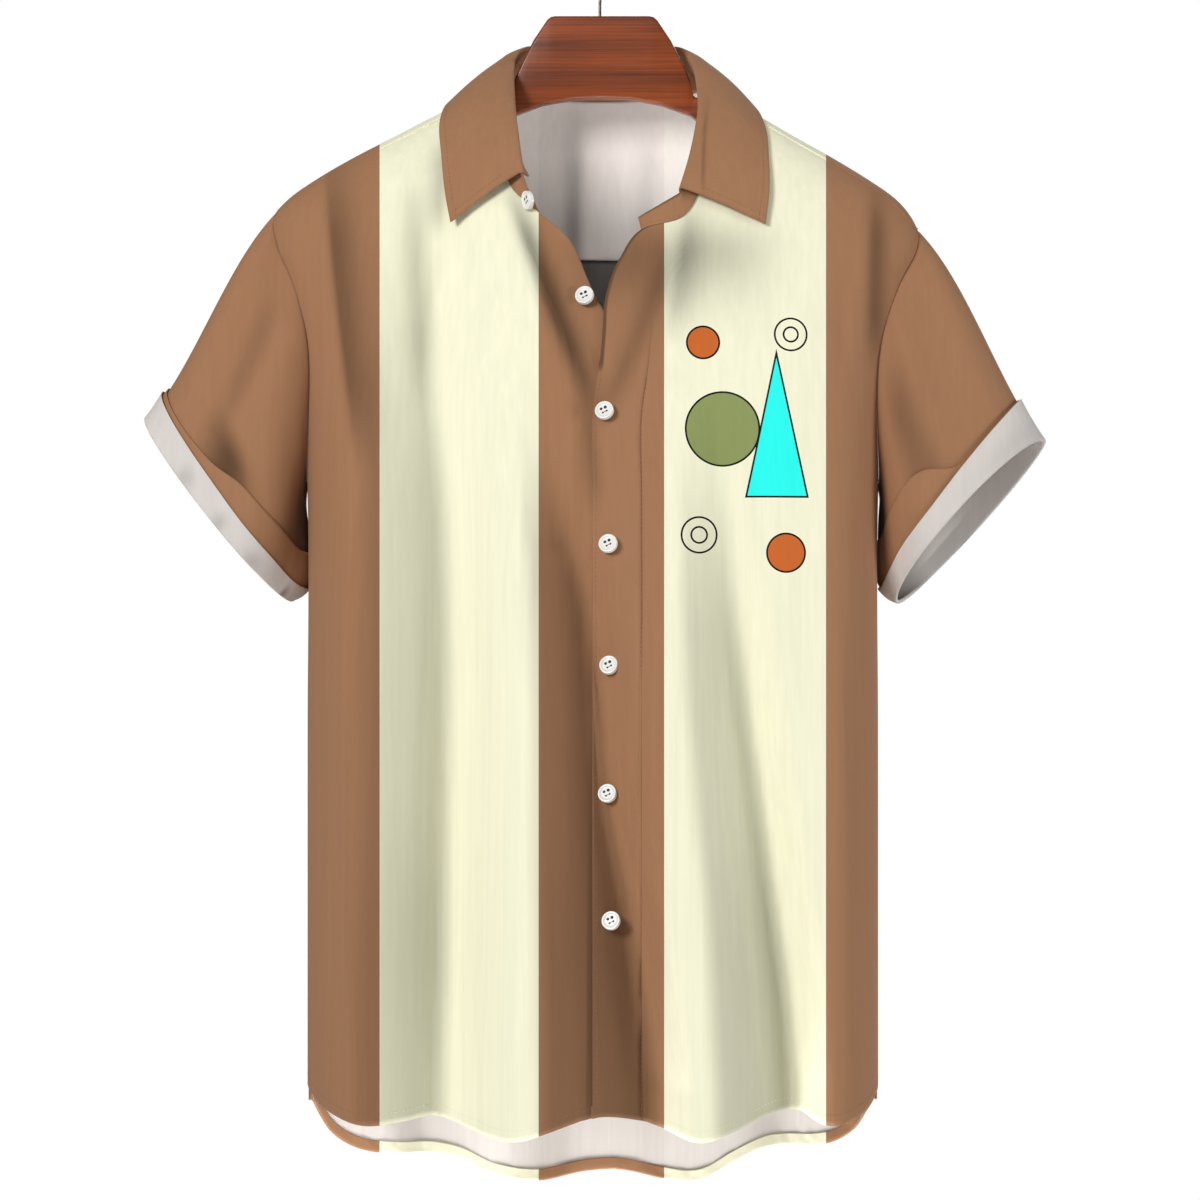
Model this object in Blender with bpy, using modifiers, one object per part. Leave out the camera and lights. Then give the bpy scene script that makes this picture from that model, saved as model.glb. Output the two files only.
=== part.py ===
"""A short-sleeved striped shirt that hangs open-necked on a wooden hanger.

Metres, +Z up, +X to the right as seen from the front, and the front faces -Y. The origin is the
inside of the hook's crown, where a rail would carry the hanger. Tables are in millimetres.

The cloth is a wall on one body surface. A level section of it is a squarish oval: an angle of
0 is the middle of the front or back and 90 degrees is the side. Panels are grids on that surface.
"""

import math

import bmesh
import bpy
import numpy as np
from mathutils import Matrix, Vector

MM = 0.001

CLOTH = 1.2
COLLAR_CLOTH = 1.6
CUFF_CLOTH = 1.6
SEAM_GAP = 0.4
LAP_STEP = 3.0
BAND_CLOTH = 1.0

# Level sections of the body, from the top down. Left and right are half widths.
BODY_COLUMNS = ("height", "left", "right", "front", "back", "power")
BODY_SECTIONS = (
    (-70, 4, 4, 18, 20, 2.2),
    (-90, 38, 38, 30, 33, 2.2),
    (-110, 76, 74, 38, 44, 2.2),
    (-132, 119, 114, 45, 52, 2.2),
    (-146, 146, 138, 49, 56, 2.25),
    (-160, 173, 163, 53, 60, 2.3),
    (-174, 197, 186, 57, 63, 2.35),
    (-188, 217, 206, 60, 66, 2.4),
    (-204, 230, 219, 63, 69, 2.45),
    (-220, 231, 224, 66, 72, 2.5),
    (-250, 222, 215, 71, 77, 2.55),
    (-290, 211, 203, 78, 83, 2.6),
    (-340, 206, 196, 85, 88, 2.65),
    (-400, 204, 194, 90, 92, 2.7),
    (-560, 204, 194, 94, 95, 2.7),
    (-720, 204, 194, 96, 97, 2.7),
    (-900, 204, 194, 98, 98, 2.7),
)

# Upright folds. x is the fold's middle at its top and at the hem, left and right are its widths to
# each side, and depth is how far it stands out (or in, below zero) at its top and at the hem.
FOLD_COLUMNS = ("x_top", "x_hem", "top", "full", "left", "right", "depth_top", "depth_hem")
FRONT_FOLDS = (
    (-124, -126, -200, -700, 72, 26, -4, -15),
    (-78, -80, -240, -640, 30, 44, 2, 12),
    (-14, -13, -330, -480, 26, 20, -2, -7),
    (34, 28, -330, -600, 30, 40, 2, 8),
    (52, 112, -260, -700, 46, 26, -5, -16),
    (120, 148, -420, -720, 24, 24, 2, 10),
    (-166, -168, -175, -330, 20, 16, -5, 0),
    (164, 170, -190, -330, 16, 18, -5, 0),
)
BACK_FOLDS = (
    (-118, -122, -230, -640, 34, 50, -4, -14),
    (-66, -60, -150, -560, 34, 38, 2, 13),
    (-12, -14, -140, -520, 36, 30, -4, -9),
    (36, 42, -150, -600, 30, 34, 2, 11),
    (74, 92, -160, -560, 30, 40, -4, -13),
    (136, 140, -260, -700, 34, 30, 3, 9),
)

# Lower edges across the body.
HEM_COLUMNS = ("x", "height")
FRONT_HEM = (
    (-206, -802), (-197, -811), (-176, -820), (-150, -824), (-112, -820), (-85, -828),
    (-58, -832), (-30, -828), (-5, -818), (30, -822), (68, -833), (98, -824), (128, -814),
    (152, -824), (172, -821), (188, -813), (196, -802),
)
BACK_HEM = (
    (-206, -812), (-197, -838), (-183, -856), (-162, -865), (-110, -868), (-92, -876),
    (-70, -889), (-40, -890), (-14, -881), (24, -884), (66, -891), (86, -882), (102, -869),
    (130, -863), (158, -860), (172, -854), (186, -838), (196, -812),
)

# Armhole, seen from the side: an oval from the shoulder's end to the underarm.
ARMHOLE_HALF_DEPTH = 33
ARMHOLE_TOP = {-1: -194, 1: -208}
UNDERARM = -388
# How far below the ridge of the shoulder the front yoke seam runs, and the back seam's height.
YOKE_FRONT_DROP = 5.0
YOKE_BACK = -226
NECK_SIDE = 74
BACK_NECK = -113

# Inner edge of each front from the underarm's level up: the opening, then the neckline.
UNDER_EDGE = (
    (19, -388), (18, -340), (11, -300), (3, -272), (-10, -246), (-26, -215), (-42, -203),
)
UNDER_NECK = ((-42, -203), (-57, -191), (-66, -170), (-72, -145), (-74, -115))
OVER_EDGE = ((-5, -388), (-5, -340), (-1, -311), (3, -275), (7, -246), (17, -230), (28, -215))
OVER_NECK = ((28, -215), (48, -212), (63, -199), (72, -173), (75, -145), (74, -115))
UNDER_LAP = 19
OVER_LAP = -5
BAND_WIDTH = 33

# Collar sections. The place is the distance along the neckline from the middle of the back, below
# zero towards the under front. Roll is the fold line on top of the stand, edge is the fall's edge.
COLLAR_COLUMNS = (
    "place", "roll_x", "roll_y", "roll_z", "edge_x", "edge_y", "edge_z", "bulge",
)
COLLAR_SECTIONS = (
    (-228, -54, -65, -178, -102, -67, -211, 1),
    (-205, -57, -57, -158, -106, -60, -190, 2),
    (-175, -60, -42, -134, -109, -49, -163, 4),
    (-145, -62, -24, -113, -111, -34, -139, 5),
    (-115, -62, -6, -96, -107, -4, -121, 6),
    (-85, -55, 17, -82, -99, 24, -121, 9),
    (-45, -32, 41, -77, -58, 50, -127, 8),
    (0, 0, 49, -76, 0, 55, -126, 6),
    (45, 33, 41, -78, 60, 50, -127, 7),
    (85, 58, 17, -82, 101, 22, -124, 9),
    (115, 67, -4, -96, 109, -4, -124, 6),
    (145, 70, -24, -117, 115, -30, -142, 5),
    (175, 69, -40, -137, 116, -47, -163, 4),
    (205, 64, -53, -162, 116, -59, -187, 2),
    (232, 56, -65, -189, 113, -65, -212, 1),
)
STAND_TIP = (26, -59, -206)

# Sleeves. The hem is an oval between an outer and an inner corner, tilted to show its opening.
SLEEVE_COLUMNS = ("outer_x", "outer_z", "inner_x", "inner_z", "half_depth", "tilt", "sag")
SLEEVES = {-1: (-316, -341, -216, -467, 40, -5, -1), 1: (310, -357, 208, -468, 40, 12, 3)}
# Cuff height round the hem, from the outer corner over the front to the inner corner and back.
CUFF_TURNS = {
    -1: ((0, 24), (90, 18), (180, 13), (270, 22), (360, 24)),
    1: ((0, 36), (90, 18), (180, 14), (270, 30), (360, 36)),
}
CUFF_CLEARANCE = 0.8
CUFF_FLARE = 1.2
# Creases on the sleeves: angle round the sleeve, where along it they start and end, width, depth.
SLEEVE_FOLD_COLUMNS = ("angle", "angle_hem", "start", "end", "width", "depth")
SLEEVE_FOLDS = {
    -1: ((62, 60, 0.0, 0.75, 26, -7), (112, 118, 0.25, 1.0, 34, 6), (250, 244, 0.1, 0.9, 34, -7)),
    1: ((54, 66, 0.0, 0.8, 24, -6), (120, 112, 0.3, 1.0, 34, 5), (246, 252, 0.1, 0.9, 32, -7)),
}

BUTTON_DIAMETER = 13.0
BUTTON_THICKNESS = 2.6
BUTTON_HOLE = 1.5
BUTTON_HOLE_SPACING = 2.7
STAND_BUTTON = (-49.5, -64.5, -195)
STAND_BUTTON_FACING = (-0.5, -0.86, -0.1)
BAND_BUTTONS = ((5, -341), (5, -430), (5, -512), (5, -600), (7, -685))
OPEN_BUTTON = (-12, -261)

HANGER_THICKNESS = 14.0
HANGER_EDGE = 2.4
HANGER_TOP = -60
HANGER_CENTRE = 1.5
HANGER_SHOULDERS = ((37, -60), (48, -76), (58, -97), (64, -117))
HANGER_ARM_END = 203
HANGER_ARM_HEIGHT_NECK = 26
HANGER_ARM_HEIGHT_END = 17
HANGER_ARCH = -117
HANGER_CLEARANCE = 3.8

HOOK_WIRE = 2.0
HOOK_RADIUS = 17.0

COLOURS = {
    "brown_cotton": (0.362, 0.181, 0.091, 0.86, 0.0),
    "cream_cotton": (0.905, 0.896, 0.665, 0.86, 0.0),
    "grey_reverse": (0.68, 0.61, 0.56, 0.9, 0.0),
    "white_resin": (0.86, 0.85, 0.80, 0.3, 0.0),
    "red_brown_wood": (0.216, 0.06, 0.024, 0.38, 0.0),
    "steel_wire": (0.09, 0.085, 0.08, 0.35, 0.9),
}


# ---------------------------------------------------------------- tables and the body surface

def columns(names, rows):
    """The table's columns by name, in rising order of the first one."""
    ordered = sorted(rows)
    return {name: np.array([row[k] for row in ordered], float) for k, name in enumerate(names)}


def smooth(at, places, values):
    """A cubic through the rows of a table, flat beyond its ends."""
    at = np.clip(at, places[0], places[-1])
    slopes = np.gradient(values, places)
    row = np.clip(np.searchsorted(places, at) - 1, 0, len(places) - 2)
    step = places[row + 1] - places[row]
    t = (at - places[row]) / step
    from_slope = slopes[row] * step * (t - 2 * t**2 + t**3)
    to_slope = slopes[row + 1] * step * (t**3 - t**2)
    blend = 3 * t**2 - 2 * t**3
    return values[row] * (1 - blend) + values[row + 1] * blend + from_slope + to_slope


BODY = columns(BODY_COLUMNS, BODY_SECTIONS)
COLLAR = columns(COLLAR_COLUMNS, COLLAR_SECTIONS)


def body(name, height):
    return smooth(np.asarray(height, float), BODY["height"], BODY[name])


def half_width(side, height):
    return np.where(np.asarray(side) < 0, body("left", height), body("right", height))


def depth(facing, height):
    return body("front" if facing < 0 else "back", height)


def smooth_step(t):
    t = np.clip(t, 0, 1)
    return t * t * (3 - 2 * t)


def fold_shift(folds, x, height):
    """How far the folds push the cloth out at these places."""
    shift = np.zeros_like(x)
    for row in folds:
        fold = dict(zip(FOLD_COLUMNS, row))
        down = (fold["top"] - height) / (fold["top"] - fold["full"])
        along = np.clip((fold["top"] - height) / (fold["top"] + 850), 0, 1)
        middle = fold["x_top"] + (fold["x_hem"] - fold["x_top"]) * along
        grown = fold["depth_top"] + (fold["depth_hem"] - fold["depth_top"]) * smooth_step(down)
        fade = smooth_step((fold["top"] + 30 - height) / 60)
        across = (x - middle) / np.where(x < middle, fold["left"], fold["right"])
        shift += grown * fade * np.where(abs(across) < 1, 0.5 + 0.5 * np.cos(np.pi * across), 0)
    return shift


def on_body(facing, angle, height, inset=0.0):
    """Points of the body surface. The angle runs from the middle of this facing, in radians."""
    angle, height = np.broadcast_arrays(np.asarray(angle, float), np.asarray(height, float))
    power = 2 / body("power", height)
    x = half_width(angle, height) * np.sign(angle) * abs(np.sin(angle)) ** power
    round_y = abs(np.cos(angle)) ** power
    folds = FRONT_FOLDS if facing < 0 else BACK_FOLDS
    shift = fold_shift(folds, x, height) * np.minimum(1, 2.2 * abs(np.cos(angle)))
    y = facing * (depth(facing, height) * round_y + shift - inset)
    return np.stack([x, y, height], axis=-1)


def angle_at_x(x, height):
    ratio = np.clip(abs(x) / half_width(x, height), 0, 1)
    return np.sign(x) * np.arcsin(ratio ** (body("power", height) / 2))


def angle_at_y(side, y, facing, height):
    ratio = np.clip(abs(y) / depth(facing, height), 0, 1)
    return side * np.arccos(ratio ** (body("power", height) / 2))


def ridge(x):
    """Height of the shoulder's ridge over x."""
    heights = np.linspace(-204, -72, 133)
    widths = half_width(x if np.ndim(x) == 0 else np.sign(x).flat[0], heights)
    return np.interp(abs(np.asarray(x, float)), widths[::-1], heights[::-1])


def ridges(x):
    return np.array([float(ridge(float(value))) for value in np.ravel(x)]).reshape(np.shape(x))


def armhole(side, turn):
    """(y, height) of the armhole. The turn is 0 at its top, 90 at the side and 180 underneath."""
    top = ARMHOLE_TOP[side]
    middle, half = (top + UNDERARM) / 2, (top - UNDERARM) / 2
    turn = np.radians(turn)
    return ARMHOLE_HALF_DEPTH * np.sin(turn), middle + half * np.cos(turn)


def armhole_turn(side, height):
    top = ARMHOLE_TOP[side]
    middle, half = (top + UNDERARM) / 2, (top - UNDERARM) / 2
    return math.degrees(math.acos((height - middle) / half))


def along(rows, count, start=0.0):
    """Points evenly spread along a table's smooth line, as x and height."""
    points = np.array(rows, float)
    run = np.concatenate([[0], np.cumsum(np.hypot(*np.diff(points, axis=0).T))])
    places = np.linspace(start, 1, count) * run[-1]
    return smooth(places, run, points[:, 0]), smooth(places, run, points[:, 1])


# ---------------------------------------------------------------- grids and solids

def normals_of(points):
    """Unit normals of a grid of points, rows by columns."""
    down = np.gradient(points, axis=0)
    across = np.gradient(points, axis=1)
    normal = np.cross(across, down)
    return normal / np.linalg.norm(normal, axis=-1, keepdims=True)


def moved_out(points, distance):
    return points + normals_of(points) * distance


def new_object(name, mesh, colour, collection):
    red, green, blue, roughness, metallic = COLOURS[colour]
    material = bpy.data.materials.new(name + "_" + colour)
    material.use_nodes = True
    shader = material.node_tree.nodes["Principled BSDF"]
    shader.inputs["Base Color"].default_value = (red, green, blue, 1)
    shader.inputs["Roughness"].default_value = roughness
    shader.inputs["Metallic"].default_value = metallic
    mesh.materials.append(material)
    obj = bpy.data.objects.new(name, mesh)
    collection.objects.link(obj)
    return obj


def cloth_sheet(name, points, wall, colour, collection, closed=False):
    """An open grid of cloth with its outer face at the points, given a wall inwards."""
    rows, count = points.shape[:2]
    mesh = bpy.data.meshes.new(name)
    faces = []
    for row in range(rows - 1):
        for column in range(count if closed else count - 1):
            after = (column + 1) % count
            here = row * count
            faces.append((here + column, here + after, here + count + after, here + count + column))
    mesh.from_pydata((points.reshape(-1, 3) * MM).tolist(), [], faces)
    mesh.shade_smooth()
    obj = new_object(name, mesh, colour, collection)
    solidify = obj.modifiers.new("Wall", "SOLIDIFY")
    solidify.thickness = wall * MM
    solidify.offset = -1
    solidify.use_even_offset = False
    return obj


# ---------------------------------------------------------------- body panels

def front_grid(side, edge, neck, lap_x, near_columns):
    """Angles and heights of one front, from the hem up and from its opening out to the side."""
    low_rows, edge_rows, neck_rows, wide = 15, 8, 5, 11
    spread = np.linspace(0, 1, wide + 1)[1:] ** 0.95
    near_columns = np.array(near_columns, float)
    rows = []

    def row_angles(first_x, first_z, last_angle):
        near = angle_at_x(first_x + side * near_columns, first_z)
        return np.concatenate([near, near[-1] + (last_angle - near[-1]) * spread])

    hem = columns(HEM_COLUMNS, FRONT_HEM)
    side_angle = float(angle_at_y(side, SEAM_GAP / 2, -1, -600))
    angles = row_angles(lap_x, -600, side_angle)
    hem_z = smooth(on_body(-1, angles, -800)[:, 0], hem["x"], hem["height"])
    for share in np.linspace(1, 0, low_rows)[:-1]:
        rows.append((angles, hem_z * share + UNDERARM * (1 - share)))

    edge_x, edge_z = along(edge, edge_rows)
    neck_x, neck_z = along(neck, neck_rows)
    inner = list(zip(np.concatenate([edge_x, neck_x[1:]]), np.concatenate([edge_z, neck_z[1:]])))
    seam_turn = armhole_turn(side, ARMHOLE_TOP[side] - YOKE_FRONT_DROP)
    for k, turn in enumerate(np.linspace(180, seam_turn, len(inner))):
        x, z = inner[k]
        y, height = armhole(side, turn)
        outer = float(angle_at_y(side, max(y, SEAM_GAP / 2), -1, height))
        if k < edge_rows:
            angles = row_angles(x, z, outer)
            share = (angles - angles[0]) / (angles[-1] - angles[0])
        first = float(angle_at_x(x, z))
        angles = first + (outer - first) * share
        heights = z + (height - z) * share
        corner_x = float(on_body(-1, outer, height)[0])
        seam_x = x + (corner_x - x) * share
        seam = ridges(seam_x) - YOKE_FRONT_DROP
        seam += (z - seam[0]) * (1 - share) ** 6 + (height - seam[-1]) * share**6
        top_share = (k / (len(inner) - 1)) ** 6
        seam_angles = angle_at_x(seam_x, seam)
        seam_angles[0], seam_angles[-1] = first, outer
        angles = angles + (seam_angles - angles) * top_share
        rows.append((angles, heights + (seam - heights) * top_share))
    return (*(np.array(part) for part in zip(*rows)), low_rows - 1 + edge_rows)


def back_grid():
    low_rows, high_rows, count = 15, 8, 24
    spread = np.linspace(-1, 1, count + 1)
    hem = columns(HEM_COLUMNS, BACK_HEM)
    side_angle = float(angle_at_y(1, SEAM_GAP / 2, 1, -600))
    angles, heights = [], []
    for share in np.linspace(1, 0, low_rows)[:-1]:
        row = spread * side_angle
        x = on_body(1, row, -800)[:, 0]
        angles.append(row)
        heights.append(smooth(x, hem["x"], hem["height"]) * share + UNDERARM * (1 - share))
    for step in np.linspace(0, 1, high_rows):
        ends = {}
        for side in (-1, 1):
            turn = 180 + (armhole_turn(side, YOKE_BACK) - 180) * step
            y, height = armhole(side, turn)
            ends[side] = (float(angle_at_y(1, max(y, SEAM_GAP / 2), 1, height)), float(height))
        middle = UNDERARM + (YOKE_BACK - UNDERARM) * step
        row = np.where(spread < 0, ends[-1][0], ends[1][0]) * spread
        end_height = np.where(spread < 0, ends[-1][1], ends[1][1])
        angles.append(row)
        heights.append(middle + (end_height - middle) * spread**2)
    return np.array(angles), np.array(heights)


def neck_height(x):
    """Height of the back neckline over x."""
    return BACK_NECK + 3.5 * (np.asarray(x, float) / NECK_SIDE) ** 2


def yoke_grid(under_seam, over_seam):
    """The yoke, from the fronts' seams and the back neckline over the ridge to the back seam."""
    rows = 10
    end = YOKE_BACK + 2 * SEAM_GAP
    neck_x = np.linspace(-NECK_SIDE + 4, NECK_SIDE - 4, 11)
    starts = [(x, z + SEAM_GAP, -1) for x, _, z in under_seam[::-1]]
    starts += [(x, float(neck_height(x)), 1) for x in neck_x]
    starts += [(x, z + SEAM_GAP, -1) for x, _, z in over_seam]
    grid = []
    for k, (x, start_z, start_facing) in enumerate(starts):
        side = -1 if x < 0 else 1
        at_end = k in (0, len(starts) - 1)
        top = ARMHOLE_TOP[side] + SEAM_GAP / 2 if at_end else float(ridge(x))
        start = start_facing * math.sqrt(max(top - start_z, 0) / (top - end))
        line = []
        for step in np.linspace(start, 1, rows):
            facing = -1 if step < 0 else 1
            height = top - (top - end) * step * step
            if at_end:
                y, _ = armhole(side, armhole_turn(side, min(height, ARMHOLE_TOP[side])))
                angle = float(angle_at_y(side, y, facing, height))
            else:
                angle = float(angle_at_x(x, height))
            line.append(on_body(facing, angle, height))
        grid.append(line)
    return np.array(grid).transpose(1, 0, 2)[::-1]


# ---------------------------------------------------------------- collar

def table_points(table, place, names):
    return np.stack([smooth(place, table["place"], table[name]) for name in names], axis=-1)


def unit(vectors):
    return vectors / np.linalg.norm(vectors, axis=-1, keepdims=True)


def neckline(under, over, yoke, neck_row):
    """The neckline from the under front round the back to the over front, and its places."""
    inside = [k for k in range(yoke.shape[1]) if abs(yoke[-1, k, 0]) < NECK_SIDE - 1]
    line = np.concatenate([under[neck_row:, 0], yoke[-1, inside], over[neck_row:, 0][::-1]])
    run = np.concatenate([[0], np.cumsum(np.linalg.norm(np.diff(line, axis=0), axis=1))])
    middle = run[int(np.argmin(abs(line[:, 0]) + (line[:, 1] < 0) * 1000))]
    return line, run - middle


def stand_grid(line, place):
    """The stand, from just above the neckline up to the roll line, as rows going up."""
    roll = table_points(COLLAR, place, ("roll_x", "roll_y", "roll_z"))
    past = np.clip((place - COLLAR["place"][-1]) / (place[-1] - COLLAR["place"][-1]), 0, 1)
    roll = roll + (np.array(STAND_TIP, float) - roll) * past[:, None]
    foot = line + unit(roll - line) * 3 * SEAM_GAP
    shares = np.linspace(0, 1, 4)[:, None, None]
    rows = foot + (roll - foot) * shares
    return rows[:, ::-1]


def fall_grid(line, line_place):
    """The fall, from over the stand's top edge out and down to its own edge."""
    place = np.linspace(COLLAR["place"][0] + 1, COLLAR["place"][-1] - 1, 31)
    roll = table_points(COLLAR, place, ("roll_x", "roll_y", "roll_z"))
    edge = table_points(COLLAR, place, ("edge_x", "edge_y", "edge_z"))
    foot = np.stack([np.interp(place, line_place, line[:, k]) for k in range(3)], axis=-1)
    bulge = smooth(place, COLLAR["place"], COLLAR["bulge"])[:, None]
    tangent = unit(np.gradient(roll, axis=0))
    rise = roll - foot
    rise = unit(rise - tangent * np.sum(rise * tangent, axis=1, keepdims=True))
    away = np.cross(rise, tangent)
    out = unit(roll * np.array([1, 1, 0]))
    up = np.array([0, 0, 1.0])
    above = COLLAR_CLOTH + 2 * SEAM_GAP
    rows = [roll + rise * above - away * COLLAR_CLOTH * 0.6, roll + rise * above + away * 2.2]
    for share in (0.12, 0.3, 0.55, 0.8, 1.0):
        lift = math.sin(math.pi * share**0.75)
        clear = above * (1 - share)
        rows.append(
            roll + (edge - roll) * share + (out * 0.8 + up * 0.6) * bulge * lift
            + (away * 1.6 + rise * 0.5) * clear
        )
    return np.array(rows)


# ---------------------------------------------------------------- sleeves and cuffs

def armhole_points(side, turns):
    """The armhole's loop: the turn is 0 on top, 90 in front, 180 underneath and 270 behind."""
    points = []
    for turn in turns:
        facing = -1 if turn <= 180 else 1
        y, height = armhole(side, turn if turn <= 180 else 360 - turn)
        angle = float(angle_at_y(side, abs(y), facing, height))
        points.append(on_body(facing, angle, height))
    return np.array(points)


def sleeve_points(side, turns, along_sleeve):
    """Points of a sleeve at the given turns (columns) and shares of its length (rows)."""
    size = dict(zip(SLEEVE_COLUMNS, SLEEVES[side]))
    turn = np.radians(turns)[:, None]
    outer = np.array([size["outer_x"], 0, size["outer_z"]], float)
    inner = np.array([size["inner_x"], 0, size["inner_z"]], float)
    half = (outer - inner) / 2
    axis = unit(np.array([side * abs(half[2]), 0, -abs(half[0])]))
    start = armhole_points(side, turns)
    end = (outer + inner) / 2 + half * np.cos(turn)
    end = end - np.array([0, size["half_depth"], 0]) * np.sin(turn)
    end = end - axis * (size["tilt"] * np.sin(turn) + size["sag"] * abs(np.sin(turn)))
    chord = np.linalg.norm(end - start, axis=1, keepdims=True)
    leave = np.concatenate(
        [side * (0.46 + 0.22 * np.cos(turn)), -0.42 * np.sin(turn), -0.82 + 0.15 * np.cos(turn)],
        axis=1,
    )
    leave = unit(leave)
    arrive = unit(axis + np.array([0, 0, -0.25]))
    start = start + leave * 2 * SEAM_GAP
    t = np.asarray(along_sleeve, float)
    if t.ndim == 1:
        t = np.repeat(t[:, None], len(turns), axis=1)
    t = t[..., None]
    points = (
        start * (2 * t**3 - 3 * t**2 + 1) + leave * chord * 0.9 * (t**3 - 2 * t**2 + t)
        + end * (3 * t**2 - 2 * t**3) + arrive * chord * 0.85 * (t**3 - t**2)
    )
    shift = np.zeros(points.shape[:2])
    for row in SLEEVE_FOLDS[side]:
        fold = dict(zip(SLEEVE_FOLD_COLUMNS, row))
        share = np.clip((t[..., 0] - fold["start"]) / (fold["end"] - fold["start"]), 0, 1)
        middle = fold["angle"] + (fold["angle_hem"] - fold["angle"]) * t[..., 0]
        across = abs(np.asarray(turns)[None, :] - middle) / fold["width"]
        window = np.sin(math.pi * share) ** 0.7 if fold["end"] < 1 else smooth_step(share * 1.6)
        shape = np.where(across < 1, 0.5 + 0.5 * np.cos(math.pi * across), 0)
        shift += fold["depth"] * window * shape
    return moved_round(points, shift, side), chord[:, 0]


def moved_round(points, distance, side):
    """Moves a closed grid out by a distance, which may differ from point to point."""
    wrapped = np.concatenate([points[:, -1:], points, points[:, :1]], axis=1)
    normal = normals_of(wrapped)[:, 1:-1] * side
    return points + normal * np.asarray(distance)[..., None]


def build_sleeve(side, name, collection):
    turns = np.arange(0, 360, 15)
    points, chord = sleeve_points(side, turns, np.linspace(0, 1, 12) ** 1.05)
    cloth_sheet("sleeve_" + name, points[::side], CLOTH, "brown_cotton", collection, closed=True)
    table = np.array(CUFF_TURNS[side], float)
    height = smooth(turns, table[:, 0], table[:, 1])
    shares = np.linspace(0, 1, 5)[:, None]
    along_sleeve = 1 - (height / chord) * (1 - shares) + shares * CUFF_CLOTH / chord
    base, _ = sleeve_points(side, turns, along_sleeve)
    stand_off = CUFF_CLEARANCE + CUFF_CLOTH + CUFF_FLARE * (1 - shares)
    cuff = moved_round(base, stand_off * np.ones(len(turns)), side)
    cloth_sheet("cuff_" + name, cuff[::side], CUFF_CLOTH, "grey_reverse", collection, closed=True)


# ---------------------------------------------------------------- buttons

def build_buttons(seats, collection, cutters):
    """Turned buttons with four holes. A seat is a name, a point and the way the button faces."""
    radius = BUTTON_DIAMETER / 2
    top = BUTTON_THICKNESS
    profile = (
        (0, top * 0.7), (radius * 0.52, top * 0.7), (radius * 0.66, top), (radius * 0.86, top),
        (radius, top * 0.72), (radius, top * 0.36), (radius * 0.84, 0), (0, 0),
    )
    mesh = bpy.data.meshes.new("button")
    edges = [(k, k + 1) for k in range(len(profile) - 1)]
    mesh.from_pydata([(r * MM, 0, z * MM) for r, z in profile], edges, [])
    holes = bmesh.new()
    for k in range(4):
        quarter = math.radians(45 + 90 * k)
        spot = Vector((math.cos(quarter), math.sin(quarter), 0)) * BUTTON_HOLE_SPACING / 2 * MM
        bmesh.ops.create_cone(
            holes, cap_ends=True, segments=6, radius1=BUTTON_HOLE / 2 * MM,
            radius2=BUTTON_HOLE / 2 * MM, depth=4 * top * MM, matrix=Matrix.Translation(spot),
        )
    cutter_mesh = bpy.data.meshes.new("button_holes")
    holes.to_mesh(cutter_mesh)
    holes.free()
    for name, point, facing in seats:
        turned = Vector(facing).to_track_quat("Z", "Y").to_matrix().to_4x4()
        place = Matrix.Translation(Vector(point) * MM) @ turned
        button = new_object(name, mesh.copy(), "white_resin", collection)
        button.matrix_world = place
        screw = button.modifiers.new("Turn", "SCREW")
        screw.steps = screw.render_steps = 18
        screw.use_merge_vertices = True
        screw.merge_threshold = 0.0001
        screw.use_normal_calculate = True
        cutter = bpy.data.objects.new(name + "_holes", cutter_mesh)
        cutters.objects.link(cutter)
        cutter.matrix_world = place
        cutter.hide_render = True
        cutter.display_type = "WIRE"
        cut = button.modifiers.new("Holes", "BOOLEAN")
        cut.operation = "DIFFERENCE"
        cut.object = cutter


def body_seat(x, height, above):
    """A place on the front of the body for a button, and the way it faces."""
    around = on_body(-1, angle_at_x(np.array([x - 3, x, x + 3.0]), height), height)
    across = unit(around[2] - around[0])
    up = unit(on_body(-1, angle_at_x(x, height + 6), height + 6) - around[1])
    normal = unit(np.cross(across, up))
    return around[1] + normal * above, normal


# ---------------------------------------------------------------- hanger

def hanger_outline():
    """The hanger seen from the front, from the middle of its top round to the right."""
    arm_x = np.linspace(80, HANGER_ARM_END, 9)
    top = np.minimum(ridges(arm_x), ridges(-arm_x)) - HANGER_CLEARANCE
    right = [(float(x), float(z)) for x, z in HANGER_SHOULDERS] + list(zip(arm_x, top))
    deep = HANGER_ARM_HEIGHT_NECK + (HANGER_ARM_HEIGHT_END - HANGER_ARM_HEIGHT_NECK) * (
        (arm_x - arm_x[0]) / (arm_x[-1] - arm_x[0])
    )
    tip = [(HANGER_ARM_END + 5, float(top[-1] - 6)), (HANGER_ARM_END + 3, float(top[-1] - 15))]
    under = list(zip(arm_x[::-1], (top - deep)[::-1]))
    arch = [(62, -129.5), (42, -122), (21, -118), (0, HANGER_ARCH)]
    return right + tip + under + arch


def build_hanger(collection):
    half = hanger_outline()
    points = half + [(-x, z) for x, z in half[-2::-1]]
    curve = bpy.data.curves.new("hanger", "CURVE")
    curve.dimensions = "2D"
    curve.fill_mode = "BOTH"
    spline = curve.splines.new("POLY")
    spline.points.add(len(points) - 1)
    for point, (x, z) in zip(spline.points, points):
        point.co = ((x + HANGER_CENTRE) * MM, z * MM, 0, 1)
    spline.use_cyclic_u = True
    curve.extrude = (HANGER_THICKNESS / 2 - HANGER_EDGE) * MM
    curve.bevel_depth = HANGER_EDGE * MM
    curve.bevel_resolution = 1
    curve.offset = -HANGER_EDGE * MM
    hanger = new_object("hanger", curve, "red_brown_wood", collection)
    hanger.rotation_euler = (math.radians(90), 0, 0)


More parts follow.
